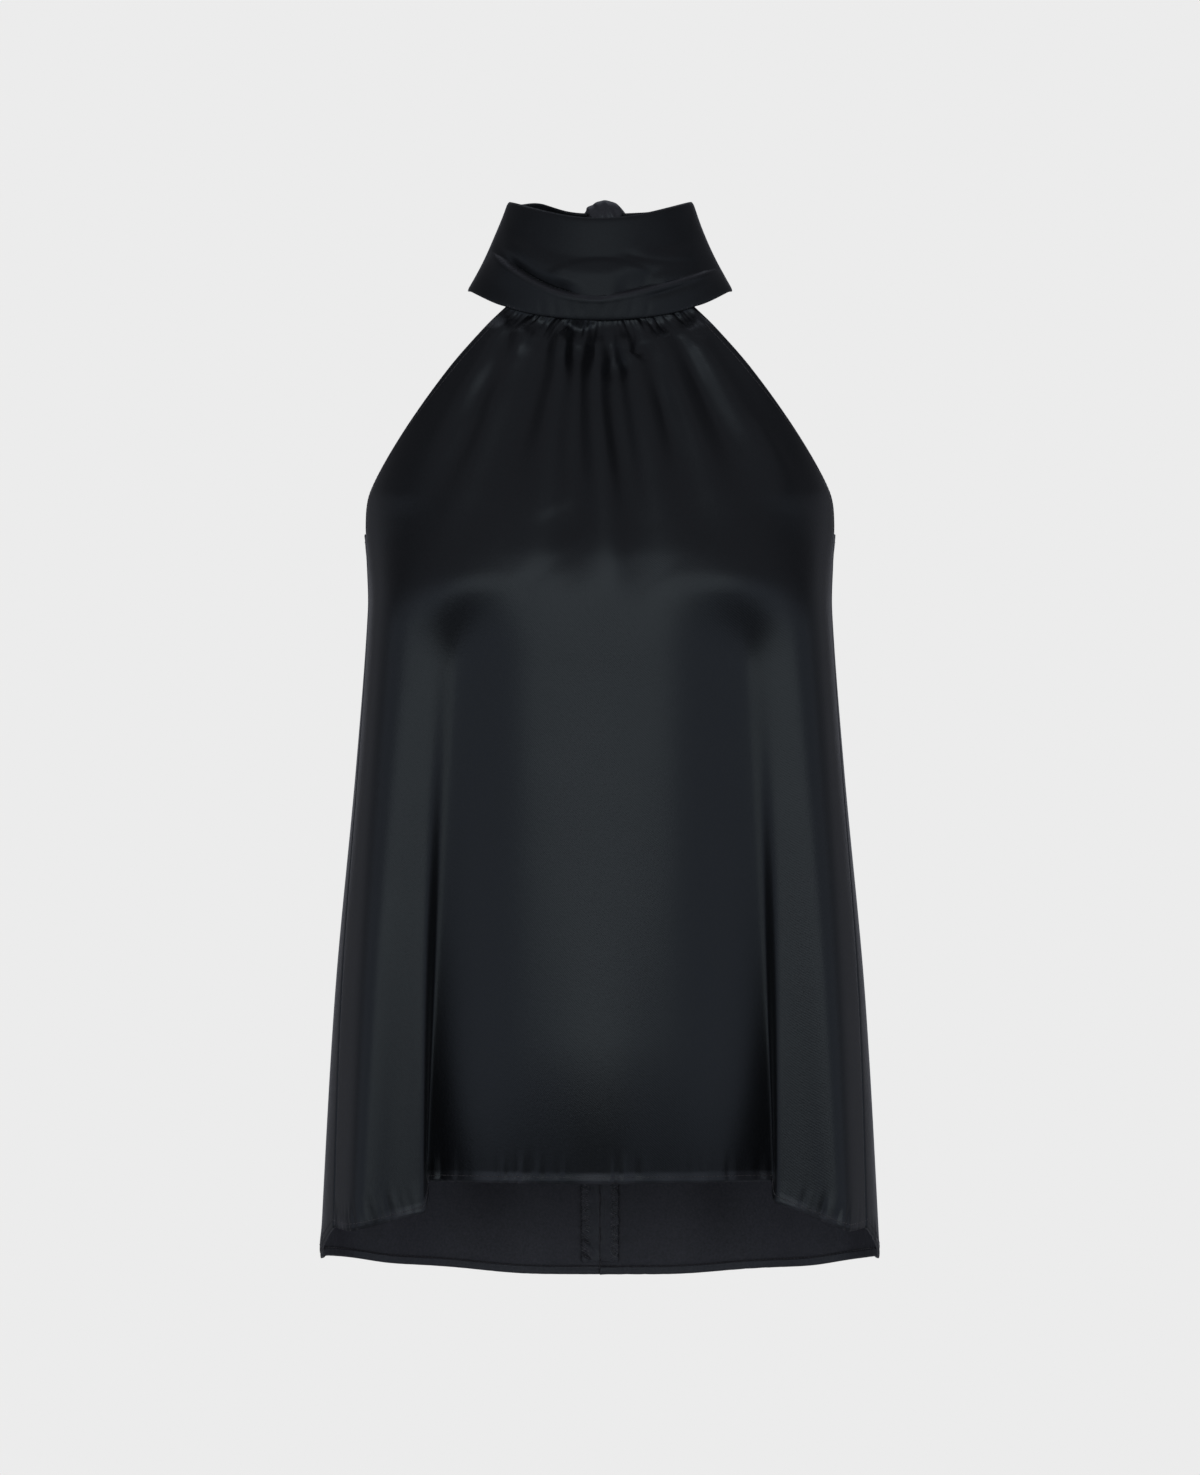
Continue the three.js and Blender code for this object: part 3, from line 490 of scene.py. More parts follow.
def lip_stand(x, z):
    """How far the fold across the band stands forward: down to its lip, where it falls in again."""
    above = z - lip_z(x)
    return LIP.stand * within(-LIP.drop, LIP.drop, LIP.full, LIP.top, above)


def lip_there(turn):
    return ease(LIP.fade_to, LIP.fade_from, turn)


def band_size(name, up):
    return mix(getattr(BAND_LOW, name), getattr(BAND_HIGH, name), up)


def band_half(up):
    return band_size("half", up) - BAND_SHAPE.pinch * np.sin(up * pi)


def band_surface(degrees, up):
    """Points of the neck band's middle surface, for arrays of degrees from the front and of up (0 to 1)."""
    turn = np.abs(degrees)
    angle = np.radians(turn)
    low, high, shape, rise = BAND_LOW, BAND_HIGH, BAND_SHAPE, BAND_BACK_RISE
    x = np.sign(degrees) * band_half(up) * np.sin(angle)
    reach = power(np.abs(np.cos(angle)), band_size("round", up))
    behind = turn > 90
    y = np.where(behind, band_size("back", up), band_size("front", up)) * reach
    low_x = low.half * np.sin(angle)
    free = unit((low_x - NECK.half) / (low.half - NECK.half))
    low_z = neck_z(low_x) + (low.corner - NECK.end_z) * free ** shape.free_bend
    sag = power(np.cos(unit(np.abs(x) / high.half) * pi / 2), shape.dip_bend)
    high_z = high.corner - shape.dip * sag
    t = ease(shape.rise_from, shape.rise_to, turn)
    beside_knot = np.where(degrees < 0, rise.by * bump((turn - rise.at) / rise.half), 0)
    low_z = np.where(behind, mix(low.corner, low.knot, t), low_z)
    high_z = np.where(behind, mix(high.corner, high.knot, t) + beside_knot, high_z)
    z = mix(low_z, high_z, up)
    y = y - np.where(behind, 0, lip_stand(x, z) * lip_there(turn))
    return np.stack([x, y, z], -1)


def band_end(side, up):
    """The angle at which the band goes into the knot, on one side."""
    level = (band_size("knot", up) - KNOT.z) / KNOT.tall
    knot_half = KNOT_MEETS * KNOT.wide * np.sqrt(1 - level**2) - BAND_INTO_KNOT
    return 180 - np.degrees(np.arcsin((knot_half + side * KNOT.x) / band_half(up)))


def tail_surface(tail, across, down, top_half=6.5, half=27, spread_by=150, drift=0.6, start=1, swing=0.03,
                 clear=4.2, lands_by=155.1, back_top_z=-140, deep=4.5, flatter=0.35, turns=1.5, grown_by=30,
                 lift=0.6):
    """Points of a hanging tie end: across from -1 to 1, down from 0 to 1. Its folds take deep to lift."""
    top_z = KNOT.z - KNOT.tall + TAIL_INTO_KNOT
    z = top_z - down * (tail.length + tail.slant * across)
    fallen = top_z - z
    spread = ease(0, spread_by, fallen)
    x = mix(tail.top_x, tail.foot_x, power(down, drift)) + across * mix(top_half, half, spread)
    degrees = 180 - np.degrees(np.arcsin(np.minimum(np.abs(x) / section("half", z), 1)))
    on_back = body_y(degrees, x, np.minimum(z, back_top_z)) + clear
    folds = deep * mix(1, flatter, spread) * np.cos(across * pi * turns) * ease(0, grown_by, fallen)
    free = KNOT.y + start + swing * fallen
    y = mix(free, on_back, ease(0, lands_by, fallen)) + np.abs(folds) * lift
    return np.stack([x, y, z], -1)


# ---- Meshes ----

MM_PER_M = 1000


def units(vectors):
    return vectors / np.linalg.norm(vectors, axis=-1, keepdims=True)


def normals(points, outward):
    """Unit normals of a grid of points, on the side that outward mostly points to."""
    n = units(np.cross(np.gradient(points, axis=1), np.gradient(points, axis=0)))
    return n * (1 if (n * outward).sum() > 0 else -1)


def add_to_scene(name, data):
    made = bpy.data.objects.new(name, data)
    bpy.context.scene.collection.objects.link(made)
    return made


def mesh_object(name, vertices, faces, material, uv=None):
    mesh = bpy.data.meshes.new(name)
    mesh.from_pydata((np.asarray(vertices) / MM_PER_M).tolist(), [], faces)
    mesh.polygons.foreach_set("use_smooth", [True] * len(mesh.polygons))
    if uv is not None:
        index = np.empty(len(mesh.loops), int)
        mesh.loops.foreach_get("vertex_index", index)
        layer = mesh.uv_layers.new(name="UVMap")
        layer.data.foreach_set("uv", (np.asarray(uv)[index] / MM_PER_M).ravel())
    mesh.materials.append(material)
    mesh.update()
    return add_to_scene(name, mesh)


def shell(name, points, n, high, low, material, uv):
    """A closed thin shell over a grid of points with normals, between two offsets from it."""
    rows, columns = points.shape[:2]
    count = rows * columns
    index = np.arange(count).reshape(rows, columns)
    a, b, c, d = index[:-1, :-1], index[:-1, 1:], index[1:, 1:], index[1:, :-1]
    top = np.stack([a, b, c, d], -1).reshape(-1, 4)
    turn = np.cross(points[0, 1] - points[0, 0], points[1, 0] - points[0, 0]) @ n[0, 0]
    rim = np.concatenate([index[0, :-1], index[:-1, -1], index[-1, :0:-1], index[:0:-1, 0]])
    beyond = np.roll(rim, -1)
    side = np.stack([rim, rim + count, beyond + count, beyond], -1)
    faces = np.concatenate([top, top[:, ::-1] + count, side])
    if turn < 0:
        faces = faces[:, ::-1]
    skins = np.concatenate([(points + n * offset).reshape(-1, 3) for offset in (high, low)])
    flat = uv.reshape(-1, 2)
    return mesh_object(name, skins, faces.tolist(), material, np.concatenate([flat, flat]))


def mark_painted_sheen(piece, amount):
    """Says how strong a painted highlight is at each point of a shell's outer skin, from 0 to 1."""
    layer = piece.data.attributes.new("painted_sheen", "FLOAT", "POINT")
    layer.data.foreach_set("value", np.concatenate([amount.ravel(), np.zeros(amount.size)]))


def lengths(points):
    """How far each point lies along its row, from the middle column, and down its column from the top."""
    along, down = np.zeros(points.shape[:2]), np.zeros(points.shape[:2])
    along[:, 1:] = np.cumsum(np.linalg.norm(np.diff(points, axis=1), axis=-1), axis=1)
    along -= along[:, along.shape[1] // 2][:, None]
    down[1:] = np.cumsum(np.linalg.norm(np.diff(points, axis=0), axis=-1), axis=0)
    return np.stack([along, -down], -1)


def from_sides(uv):
    """How far each point of a grid lies from its two side edges."""
    along = uv[..., 0]
    return along - along[:, :1], along[:, -1:] - along


def laid_on(points, n, detail, outward):
    """A surface with its detail laid on, and its normals."""
    points = points + n * detail[..., None]
    return points, normals(points, outward)


def drawn_in(points, n, outward, *edges):
    """A surface with its folded and sewn edges drawn in, and its normals. An edge is how far the points lie
    from it, and its kind."""
    for distance, kind in edges:
        depth, reach = ROLLS[kind]
        points = points - n * (depth * np.exp(-distance / reach))[..., None]
    return points, normals(points, outward)


def across_rows(grid, distance, wanted):
    """Points of each row of a grid at the wanted distances. Distance rises along each row."""
    return np.stack([
        np.stack([np.interp(wanted, far, row[:, k]) for k in range(3)], -1)
        for row, far in zip(grid, distance)
    ])


def run_along(line):
    """How far each point of a line is from its start."""
    return np.concatenate([[0], np.cumsum(np.linalg.norm(np.diff(line, axis=0), axis=1))])


def at_run(s, run, values):
    return np.array([np.interp(s, run, values[:, k]) for k in range(3)])


def thread(name, stitches, radius, material, sides=6, aside=(0.31, 0.2, 0.93)):
    """One mesh of short stitches. Each is a row of points: a rounded piece of thread along them. aside is a
    way that no stitch takes."""
    vertices, faces = [], []
    ring = np.arange(sides)[:, None] * 2 * pi / sides
    for path in np.asarray(stitches, float):
        way = units(np.gradient(path, axis=0))
        side = units(np.cross(way, aside))[:, None]
        skin = path[:, None] + radius * (np.cos(ring) * side + np.sin(ring) * np.cross(way[:, None], side))
        first, last = len(vertices), len(vertices) + 1 + sides * len(path)
        ends = way[[0, -1]] * radius / 2
        vertices += [path[0] - ends[0], *skin.reshape(-1, 3), path[-1] + ends[1]]
        for k in range(sides):
            m = (k + 1) % sides
            faces.append([first, first + 1 + m, first + 1 + k])
            for low in range(first + 1, last - sides, sides):
                faces.append([low + k, low + m, low + sides + m, low + sides + k])
            faces.append([last, last - sides + k, last - sides + m])
    return mesh_object(name, np.array(vertices), faces, material)


def stitch_row(points, n, lift):
    """Even stitches along a line of points, lifted off it along its normals."""
    line = points + n * lift
    run = run_along(line)
    length = STITCH.length
    starts = np.arange(STITCH.pitch / 2, run[-1] - length, STITCH.pitch)
    return [[at_run(v, run, line) for v in (s, s + length / 2, s + length)] for s in starts]


def in_threes(points):
    """Stitches of three points each, end to end along a line."""
    return [points[k:k + 3] for k in range(0, len(points) - 2, 2)]


def seam_stitches(line, n):
    """A line of lockstitches that closes a seam, right behind it."""
    return in_threes(line - n * SEAM_STITCH_IN)


# ---- Materials ----

class Nodes:
    """A material's node tree, with short calls to fill it."""

    def __init__(self, name):
        self.material = bpy.data.materials.new(name)
        self.material.use_nodes = True
        self.tree = self.material.node_tree
        self.shader = self.tree.nodes["Principled BSDF"]

    def add(self, kind, links=(), **values):
        node = self.tree.nodes.new(kind)
        for key, value in values.items():
            if hasattr(node, key):
                setattr(node, key, value)
            else:
                node.inputs[key.replace("_", " ")].default_value = value
        for socket, source in dict(links).items():
            self.tree.links.new(source, node.inputs[socket])
        return node

    def noise(self, place, scale, detail, roughness):
        return self.add("ShaderNodeTexNoise", {"Vector": place}, Scale=scale, Detail=detail,
                        Roughness=roughness).outputs["Fac"]

    def spread(self, noise, low, high):
        """The usual range of a noise, spread from low to high."""
        return self.add("ShaderNodeMapRange", {"Value": noise}, From_Min=0.3, From_Max=0.7, To_Min=low,
                        To_Max=high).outputs[0]

    def waves(self, place, scale, distortion, **values):
        return self.add("ShaderNodeTexWave", {"Vector": place}, bands_direction="DIAGONAL", Scale=scale,
                        Distortion=distortion, **values).outputs["Fac"]

    def mixed(self, factor, links=(), **values):
        """A mix of two colours, A and B."""
        links = {"Factor": factor, **dict(links)}
        return self.add("ShaderNodeMix", links, data_type="RGBA", **values).outputs["Result"]

    def set(self, **values):
        for key, value in values.items():
            self.shader.inputs[key.replace("_", " ")].default_value = value

    def link(self, source, socket):
        self.tree.links.new(source, self.shader.inputs[socket])


COOL = (0.78, 0.91, 1.0)


def satin_material(name, base, roughness, shine, weave, grain, sheen, painted_sheen=None):
    """Woven satin: long floats across the cloth, a fine grain and slow changes of tone and gloss.

    The last argument, if given, is a lighter colour painted on as a highlight, where the mesh has an
    attribute of its name."""
    m = Nodes(name)
    uv = m.add("ShaderNodeTexCoord").outputs["UV"]
    place = m.add("ShaderNodeTexCoord").outputs["Object"]
    floats = m.add("ShaderNodeMapping", {"Vector": uv}, Scale=(900, 2600, 1))
    yarn = m.noise(floats.outputs[0], scale=1.0, detail=2.0, roughness=0.6)
    slow = m.noise(place, scale=14.0, detail=3.0, roughness=0.55)
    fine = m.noise(place, scale=620.0, detail=2.0, roughness=0.7)
    twill = m.waves(uv, scale=420.0, distortion=1.2, Detail=1.0)
    tone, speck = m.spread(slow, 0.86, 1.14), m.spread(fine, 0.8, 1.2)
    shade = m.add("ShaderNodeMath", {0: tone, 1: speck}, operation="MULTIPLY")
    colour = m.mixed(shade.outputs[0], clamp_factor=False, A=(0, 0, 0, 1), B=(*base, 1))
    # a lighter base colour where the attribute says so: a painted highlight
    if painted_sheen:
        worn = m.add("ShaderNodeAttribute", attribute_name="painted_sheen")
        colour = m.mixed(worn.outputs["Fac"], {"A": colour}, B=(*painted_sheen, 1))
    m.link(colour, "Base Color")
    gloss = m.spread(slow, roughness - 0.02, roughness + 0.02)
    uneven = m.add("ShaderNodeMath", {0: yarn, 2: gloss}, operation="MULTIPLY_ADD")
    uneven.inputs[1].default_value = 0.06
    m.link(uneven.outputs[0], "Roughness")
    height = m.add("ShaderNodeMath", {0: yarn, 1: twill}, operation="ADD")
    threads = m.add("ShaderNodeBump", {"Height": height.outputs[0]}, Strength=weave, Distance=0.0001)
    pebble = m.add("ShaderNodeBump", {"Height": fine, "Normal": threads.outputs[0]}, Strength=grain,
                   Distance=0.0003)
    m.link(pebble.outputs[0], "Normal")
    m.set(Specular_IOR_Level=shine, IOR=1.5, Specular_Tint=(*COOL, 1), Sheen_Weight=sheen,
          Sheen_Roughness=0.35, Sheen_Tint=(*COOL, 1))
    return m.material


def thread_material(name, colour):
    """Twisted polyester thread."""
    m = Nodes(name)
    place = m.add("ShaderNodeTexCoord").outputs["Object"]
    ply = m.waves(place, scale=900.0, distortion=2.0)
    dark, light = ((*[c * share for c in colour], 1) for share in (0.7, 1.25))
    m.link(m.mixed(ply, A=dark, B=light), "Base Color")
    m.link(m.add("ShaderNodeBump", {"Height": ply}, Strength=0.4, Distance=0.0001).outputs[0], "Normal")
    m.set(Roughness=0.5, Specular_IOR_Level=0.5, Sheen_Weight=0.2)
    return m.material


# Name, base colour, roughness, shine, weave, grain, sheen and the colour of its painted highlight.
satin, satin_band, knot_satin_painted_light, inside_satin_painted_light, turned_satin_painted_light = (satin_material(*row) for row in (
    ("black_satin", (0.0046, 0.0048, 0.0058), 0.33, 0.5, 0.22, 0.3, 0.03, (0.034, 0.035, 0.042)),
    ("black_satin_band", (0.005, 0.0054, 0.0066), 0.44, 0.4, 0.14, 0.12, 0.04, (0.03, 0.031, 0.037)),
    # The knot's copy of the satin has its colour lifted well above the cloth's: painted light on the knot.
    ("black_satin_knot", (0.036, 0.037, 0.044), 0.3, 0.5, 0.14, 0.12, 0.04),
    # The inside's copy: the duller wrong side, its colour lifted far above the cloth's as painted light where
    # little light falls.
    ("black_satin_inside", (0.056, 0.056, 0.066), 0.55, 0.45, 0.16, 0.16, 0.1),
    # The turned pieces' copy shows the right side, its colour lifted far above the cloth's as painted light.
    ("black_satin_turned", (0.05, 0.051, 0.059), 0.42, 0.5, 0.16, 0.14, 0.06),
))
sewing = thread_material("black_thread", (0.034, 0.035, 0.042))
overlocking = thread_material("black_overlock_thread", (0.16, 0.163, 0.18))


def dress(made, node=None):
    """Hangs a piece of the looks on the root body, and hides the CAD part that it stands in for, if one is
    given.
    """
    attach(made, "root")
    if node:
        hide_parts(node)


def turning(node, points, n, uv):
    """A hem or an allowance that is turned to the inside of its panel."""
    dress(shell(f"blouse_{node}", points, n, *TURNED, turned_satin_painted_light, uv), node)


def row_at(rows, down):
    return int(np.argmax(rows >= down))


# ---- Front ----

def small_pleats(neck_x, below, seed=11, go_in=0.62, margin=2, top=-1.5, full=0.5):
    """The small uneven pleats that the gathering threads make right under the neckline. go_in is the share of
    them that go in."""
    rng = np.random.default_rng(seed)
    total = np.zeros_like(neck_x)
    x, end = margin - NECK.half, NECK.half - margin
    while x < end:
        deep = rng.uniform(*PLEATS["deep"]) * rng.choice([-1, 1], p=[go_in, 1 - go_in])
        wide, run, lean = (rng.uniform(*PLEATS[k]) for k in ("wide", "run", "lean"))
        fade = ease(top, full, below) * bump(np.maximum(below, 0) / run)
        total += deep * fade * bump((neck_x - x - lean * below) / wide)
        x += rng.uniform(*PLEATS["apart"])
    return total


def hem_puckers(hem, along, above, deep, side=0, least=0.45, more=0.55, fade=9):
    """Small ripples across a stitched hem, dying out above it."""
    share = least + more * ripple(f"{hem}_slow", along, side)
    return deep * ripple(hem, along, side) * share * bump(np.maximum(above - HEM_DEPTH, 0) / fade)


FORWARD, BACKWARD = (0, -1, 0), (0, 1, 0)

front_across = np.linspace(-1, 1, FRONT_COLUMNS)
front_down = spaced(FRONT_ROWS, 1)
front = front_surface(front_across, front_down)
front_uv = lengths(front)
x, z = front[..., 0], front[..., 2]
below_neck = neck_z(x) - z
above_hem = z - front[-1, :, 2]
from_edge = np.minimum(*from_sides(front_uv))
detail = FRONT_CREASE_SHARE * creases(FRONT_CREASES, x, z) * ease(CREASES_START, CREASES_FULL, below_neck)
detail += small_pleats(np.broadcast_to(front_across * NECK.half, x.shape), below_neck)
detail += hem_puckers("front_hem", front_uv[..., 0], above_hem, deep=0.9)
between = ease(HEM_STRAIGHT.starts, HEM_STRAIGHT.full, np.abs(x) / HEM_CURL.half)
detail += HEM_STRAIGHT.by * np.maximum(HEM_DEPTH - above_hem, 0) * between
front, front_n = laid_on(front, normals(front, FORWARD), detail, FORWARD)
front, front_n = drawn_in(front, front_n, FORWARD, (from_edge, "side"), (above_hem, "front_hem"))
front_piece = shell("blouse_front", front, front_n, *SHELL, satin, front_uv)
dress(front_piece, "front_panel")
# the hem's band of painted highlight: a lighter colour, uneven along the hem
gloss = unit(HEM_PAINTED_SHEEN.level + HEM_PAINTED_SHEEN.by * ripple("gloss", front_uv[..., 0]))
soft = HEM_PAINTED_SHEEN.soft
mark_painted_sheen(front_piece, gloss * ease(HEM_DEPTH + soft, HEM_DEPTH - soft, above_hem))

hem_at = row_at(front_down, 1 - HEM_DEPTH / FRONT_LENGTH)
turning("front_hem", front[hem_at:], front_n[hem_at:], front_uv[hem_at:])
hem_stitches = stitch_row(front[hem_at], front_n[hem_at], STITCH_OUT)

armhole_stitches = []
rows = slice(row_at(front_down, ARMHOLE_ROW), row_at(front_down, (FRONT_TOP_Z - UNDERARM_Z) / FRONT_LENGTH))
middle = FRONT_COLUMNS // 2
wanted = np.linspace(0, ARMHOLE_HEM, ARMHOLE_HEM_COLUMNS)
for word, half in (("left", slice(None, middle + 1)), ("right", slice(None, middle - 1, -1))):
    far = from_edge[rows, half]
    strip, strip_n = (across_rows(grid[rows, half], far, wanted) for grid in (front, front_n))
    turning(f"armhole_hem_{word}", strip, strip_n, lengths(strip))
    armhole_stitches += stitch_row(strip[:, -1], strip_n[:, -1], STITCH_OUT)

# ---- Back ----

back_across, back_down = spaced(BACK_COLUMNS, 1), spaced(BACK_ROWS, 1)
hem_at = row_at(back_down, 1 - HEM_DEPTH / BACK_LENGTH)
top_at = row_at(back_down, ARMHOLE_HEM / BACK_LENGTH)
seams = {}
stitches = {}
for word, side in (("left", -1), ("right", 1)):
    outward = (0.6 * side, 1, 0)  # this only has to tell the outside from the inside
    points = back_surface(side, back_across, back_down)
    uv = lengths(points)
    x, z = points[..., 0], points[..., 2]
    above_hem, below_top = z - points[-1, :, 2], points[0, :, 2] - z
    from_side, from_centre = from_sides(uv)
    shift = BACK_CREASE_SHIFT if side < 0 else 0
    detail = creases(BACK_CREASES, side * x + shift, z - 2 * shift)
    detail += hem_puckers("back_hem", uv[..., 0], above_hem, deep=0.45, side=side)
    detail += hem_puckers("top_hem", uv[..., 0], below_top, deep=0.3, side=side)
    pull = SEAM_PULL.deep * ripple("seam", z, side)
    detail += pull * bump(from_centre / SEAM_PULL.reach)
    points, n = laid_on(points, normals(points, outward), detail, outward)
    edges = ((from_side, "side"), (from_centre, "centre"), (above_hem, "back_hem"))
    points, n = drawn_in(points, n, outward, *edges)
    seams[f"side_{word}"], seams[f"centre_{word}"] = (points[:, 0], n[:, 0]), (points[:, -1], n[:, -1])
    panel = shell(f"blouse_back_{word}", points, n, *SHELL, satin, uv)
    panel.data.materials.append(inside_satin_painted_light)
    quads = (len(back_across) - 1) * (len(back_down) - 1)
    inner_face = np.zeros(len(panel.data.polygons), np.int32)
    inner_face[quads:2 * quads] = 1
    panel.data.polygons.foreach_set("material_index", inner_face)
    dress(panel, f"back_panel_{word}")
    turning(f"back_hem_{word}", points[hem_at:], n[hem_at:], uv[hem_at:])
    turning(f"back_top_hem_{word}", points[:top_at + 1], n[:top_at + 1], uv[:top_at + 1])
    stitches[f"back_{word}"] = [
        stitch for row, lift in ((hem_at, STITCH_OUT), (hem_at, STITCH_IN), (top_at, STITCH_OUT))
        for stitch in stitch_row(points[row], n[row], lift)
    ]
    # the pressed-open allowance, lifted and puckered a little at its free edge
    body = slice(top_at + 2, hem_at - 1)
    reach = np.linspace(ALLOWANCE, 0, ALLOWANCE_COLUMNS)
    base, base_n = (across_rows(grid[body, ::-1], from_centre[body, ::-1], reach) for grid in (points, n))
    away = np.broadcast_to(reach / ALLOWANCE, base.shape[:2])
    lift = ALLOWANCE_LIFT
    wave = ripple("allowance", base[..., 2] + side * lift.slant * reach, side)
    rise = within(lift.starts, lift.full, lift.falls_from, lift.gone, away)
    lifted = base - base_n * (lift.least + lift.by * (0.5 + 0.5 * wave) * rise)[..., None]
    lifted_n = normals(lifted, outward)
    turning(f"seam_allowance_{word}", lifted, lifted_n, lengths(lifted))
    zigzags = stitches[f"overlock_{word}"] = []
    for outer, inner in OVERLOCK_COLUMNS:
        run = run_along(lifted[:, outer])
        ticks = np.arange(OVERLOCK.start, run[-1] - OVERLOCK.end, OVERLOCK.pitch)
        sunk = [lifted[:, column] - lifted_n[:, outer] * OVERLOCK.lift for column in (inner, outer)]
        zigzags += in_threes([at_run(s, run, sunk[k % 2]) for k, s in enumerate(ticks)])

# ---- Neck band ----

def strip_pleats(x, z, top=-3, foot=-13, wide=1.2, deep=-0.5, slant=0.05):
    above = z - (top + foot) / 2
    pleats = sum(bump((x - at - slant * above) / wide) for at in STRIP_PLEATS_X)
    return deep * pleats * bump(above / (top - foot) * 2)


def knot_pleats(turn, up, starts=118, full=168, deep=1.5, turns=2.6, bend=0.18, bends=5, slant=0.03):
    """The pleats that gather the band towards the knot: two waves over its height."""
    to_knot = ease(starts, full, turn)
    bent = bend * np.sin(bends * up) + slant * (1 - to_knot)
    fine = FINE.share * np.cos(2 * pi * FINE.turns * up + FINE.phase)
    free = within(0, FINE.foot, FINE.top, FINE.gone, up)
    return deep * to_knot * (np.cos(2 * pi * (turns * up + bent)) + fine) * free


across, up = np.meshgrid(np.linspace(-1, 1, BAND_COLUMNS), spaced(BAND_ROWS, 0))
degrees = across * np.where(across < 0, band_end(-1, up), band_end(1, up))
turn = np.abs(degrees)
band = band_surface(degrees, up)
band_out = np.stack([sine(degrees), -np.cos(np.radians(degrees)), np.zeros_like(up)], -1)
band_uv = lengths(band)
x, z = band[..., 0], band[..., 2]
in_front = ease(BAND_FRONT_GONE, BAND_FRONT_FULL, turn)
above_lip = z - lip_z(x)
detail = creases(BAND_CREASES, x, z) * in_front

# the lip's edge stands forward over the strip below it
soft = LIP_EDGE.soft
in_strip = unit(1 + above_lip / np.maximum(lip_z(x) - z[-1:], 1))
strip = (LIP.stand + LIP_EDGE.roll) * in_strip * ease(soft, -soft, above_lip)
fold = LIP.stand * within(-soft, soft, LIP.full, LIP.top, above_lip)
detail += in_front * lip_there(turn) * (strip + fold - lip_stand(x, z))
for f in LIP_POCKETS:
    across_it = within(f.x0, f.x0 + f.soft, f.x1 - f.soft, f.x1, x)
    in_pocket = within(0, LIP_EDGE.width, LIP_EDGE.width, f.tall, above_lip)
    detail -= in_front * f.deep * across_it * in_pocket
off_middle = x / BELLY.half
below_arc = BELLY.arc_z - BELLY.fall * off_middle**2 - z
in_belly = in_front * ease(-BELLY.soft, BELLY.soft, above_lip)
in_belly = in_belly * ease(BELLY.starts, BELLY.full, np.abs(off_middle))
detail += in_belly * BELLY.stand * ease(0, BELLY.run, below_arc)
left, right = BELLY_SAG.left, BELLY_SAG.right
flat_part = within(left, left + BELLY_SAG.left_soft, right - BELLY_SAG.right_soft, right, x)
detail -= in_belly * flat_part * BELLY_SAG.by * unit((below_arc - BELLY.run) / BELLY_SAG.over)

detail += in_front * strip_pleats(x, z) + knot_pleats(turn, up)
wave = ripple("band", band_uv[..., 0] + BAND_WAVES.slant * z)
detail += BAND_WAVES.deep * wave * (1 - BAND_WAVES.less_in_front * in_front)
band, band_n = laid_on(band, normals(band, band_out), detail, band_out)
from_top, from_foot = (np.linalg.norm(band - edge, axis=-1) for edge in (band[:1], band[-1:]))
band, band_n = drawn_in(band, band_n, band_out, (from_top, "band_top"), (from_foot, "band_foot"))
band_piece = shell("blouse_neck_band", band, band_n, *BAND_FACES, satin_band, band_uv)
dress(band_piece, "neck_band")
# the light line along the lip is a painted highlight: a lighter colour where the edge rolls
shine = bump((above_lip - LIP_EDGE.shine_at) / LIP_EDGE.shine_half)
mark_painted_sheen(band_piece, in_front * lip_there(turn) * shine)

gathered = turn[-1] < np.degrees(np.arcsin(NECK.half / BAND_LOW.half))
line, line_n = band[-1][gathered], band_n[-1][gathered]
run = run_along(line)
neck_stitches = []
for s in np.arange(NECK_STITCH.start, run[-1], NECK_STITCH.pitch):
    p, n = at_run(s, run, line), at_run(s, run, line_n)
    lean = NECK_STITCH.lean * math.sin(NECK_STITCH.turn * s)
    neck_stitches.append([p + n * lift + (lean * share, 0, rise) for lift, share, rise in NECK_STITCH_PATH])

# ---- Knot ----

around, polar = np.meshgrid(np.linspace(0, 2 * pi, KNOT_AROUND),
                            np.linspace(KNOT_POLE, pi - KNOT_POLE, KNOT_ROWS))
sx, sy, sz = np.sin(polar) * np.cos(around), np.sin(polar) * np.sin(around), np.cos(polar)
waist = 1 - SHAPE.waist * bump(sz / SHAPE.waist_tall)
wound = np.cos(SHAPE.folds * around + SHAPE.twist * sz)
folds = 1 + SHAPE.fold_deep * wound * (1 - sz * sz)
square = 1 / power(np.abs(sx) ** 3 + np.abs(sy) ** 3 + np.abs(sz) ** 3, 1 / 3)
swell = mix(1, square, SHAPE.square) * folds
knot = np.stack([
    KNOT.x + KNOT.wide * waist * swell * sx,
    KNOT.y + KNOT.deep * swell * sy,
    KNOT.z + KNOT.tall * mix(1, square, SHAPE.flat) * sz,
], -1)
knot_n = normals(knot, np.stack([sx, sy, sz], -1))
slant = WRAPS.across * sx * KNOT.wide + WRAPS.up * sz * KNOT.tall
slant = slant + WRAPS.bend * np.sin(WRAPS.bends * sz)
ridge = np.abs(np.sin(slant * pi / WRAPS.apart + WRAPS.phase)) ** WRAPS.sharp
bend = WRAP_LINES.bend * np.sin(WRAP_LINES.bends * sz)
lines = WRAP_LINES.deep * np.sin(slant * WRAP_LINES.turns + bend + WRAP_LINES.phase)
wraps = WRAPS.level - ridge + lines
knot = knot + knot_n * (WRAP_DEEP * wraps * power(1 - sz**4, 0.5))[..., None]


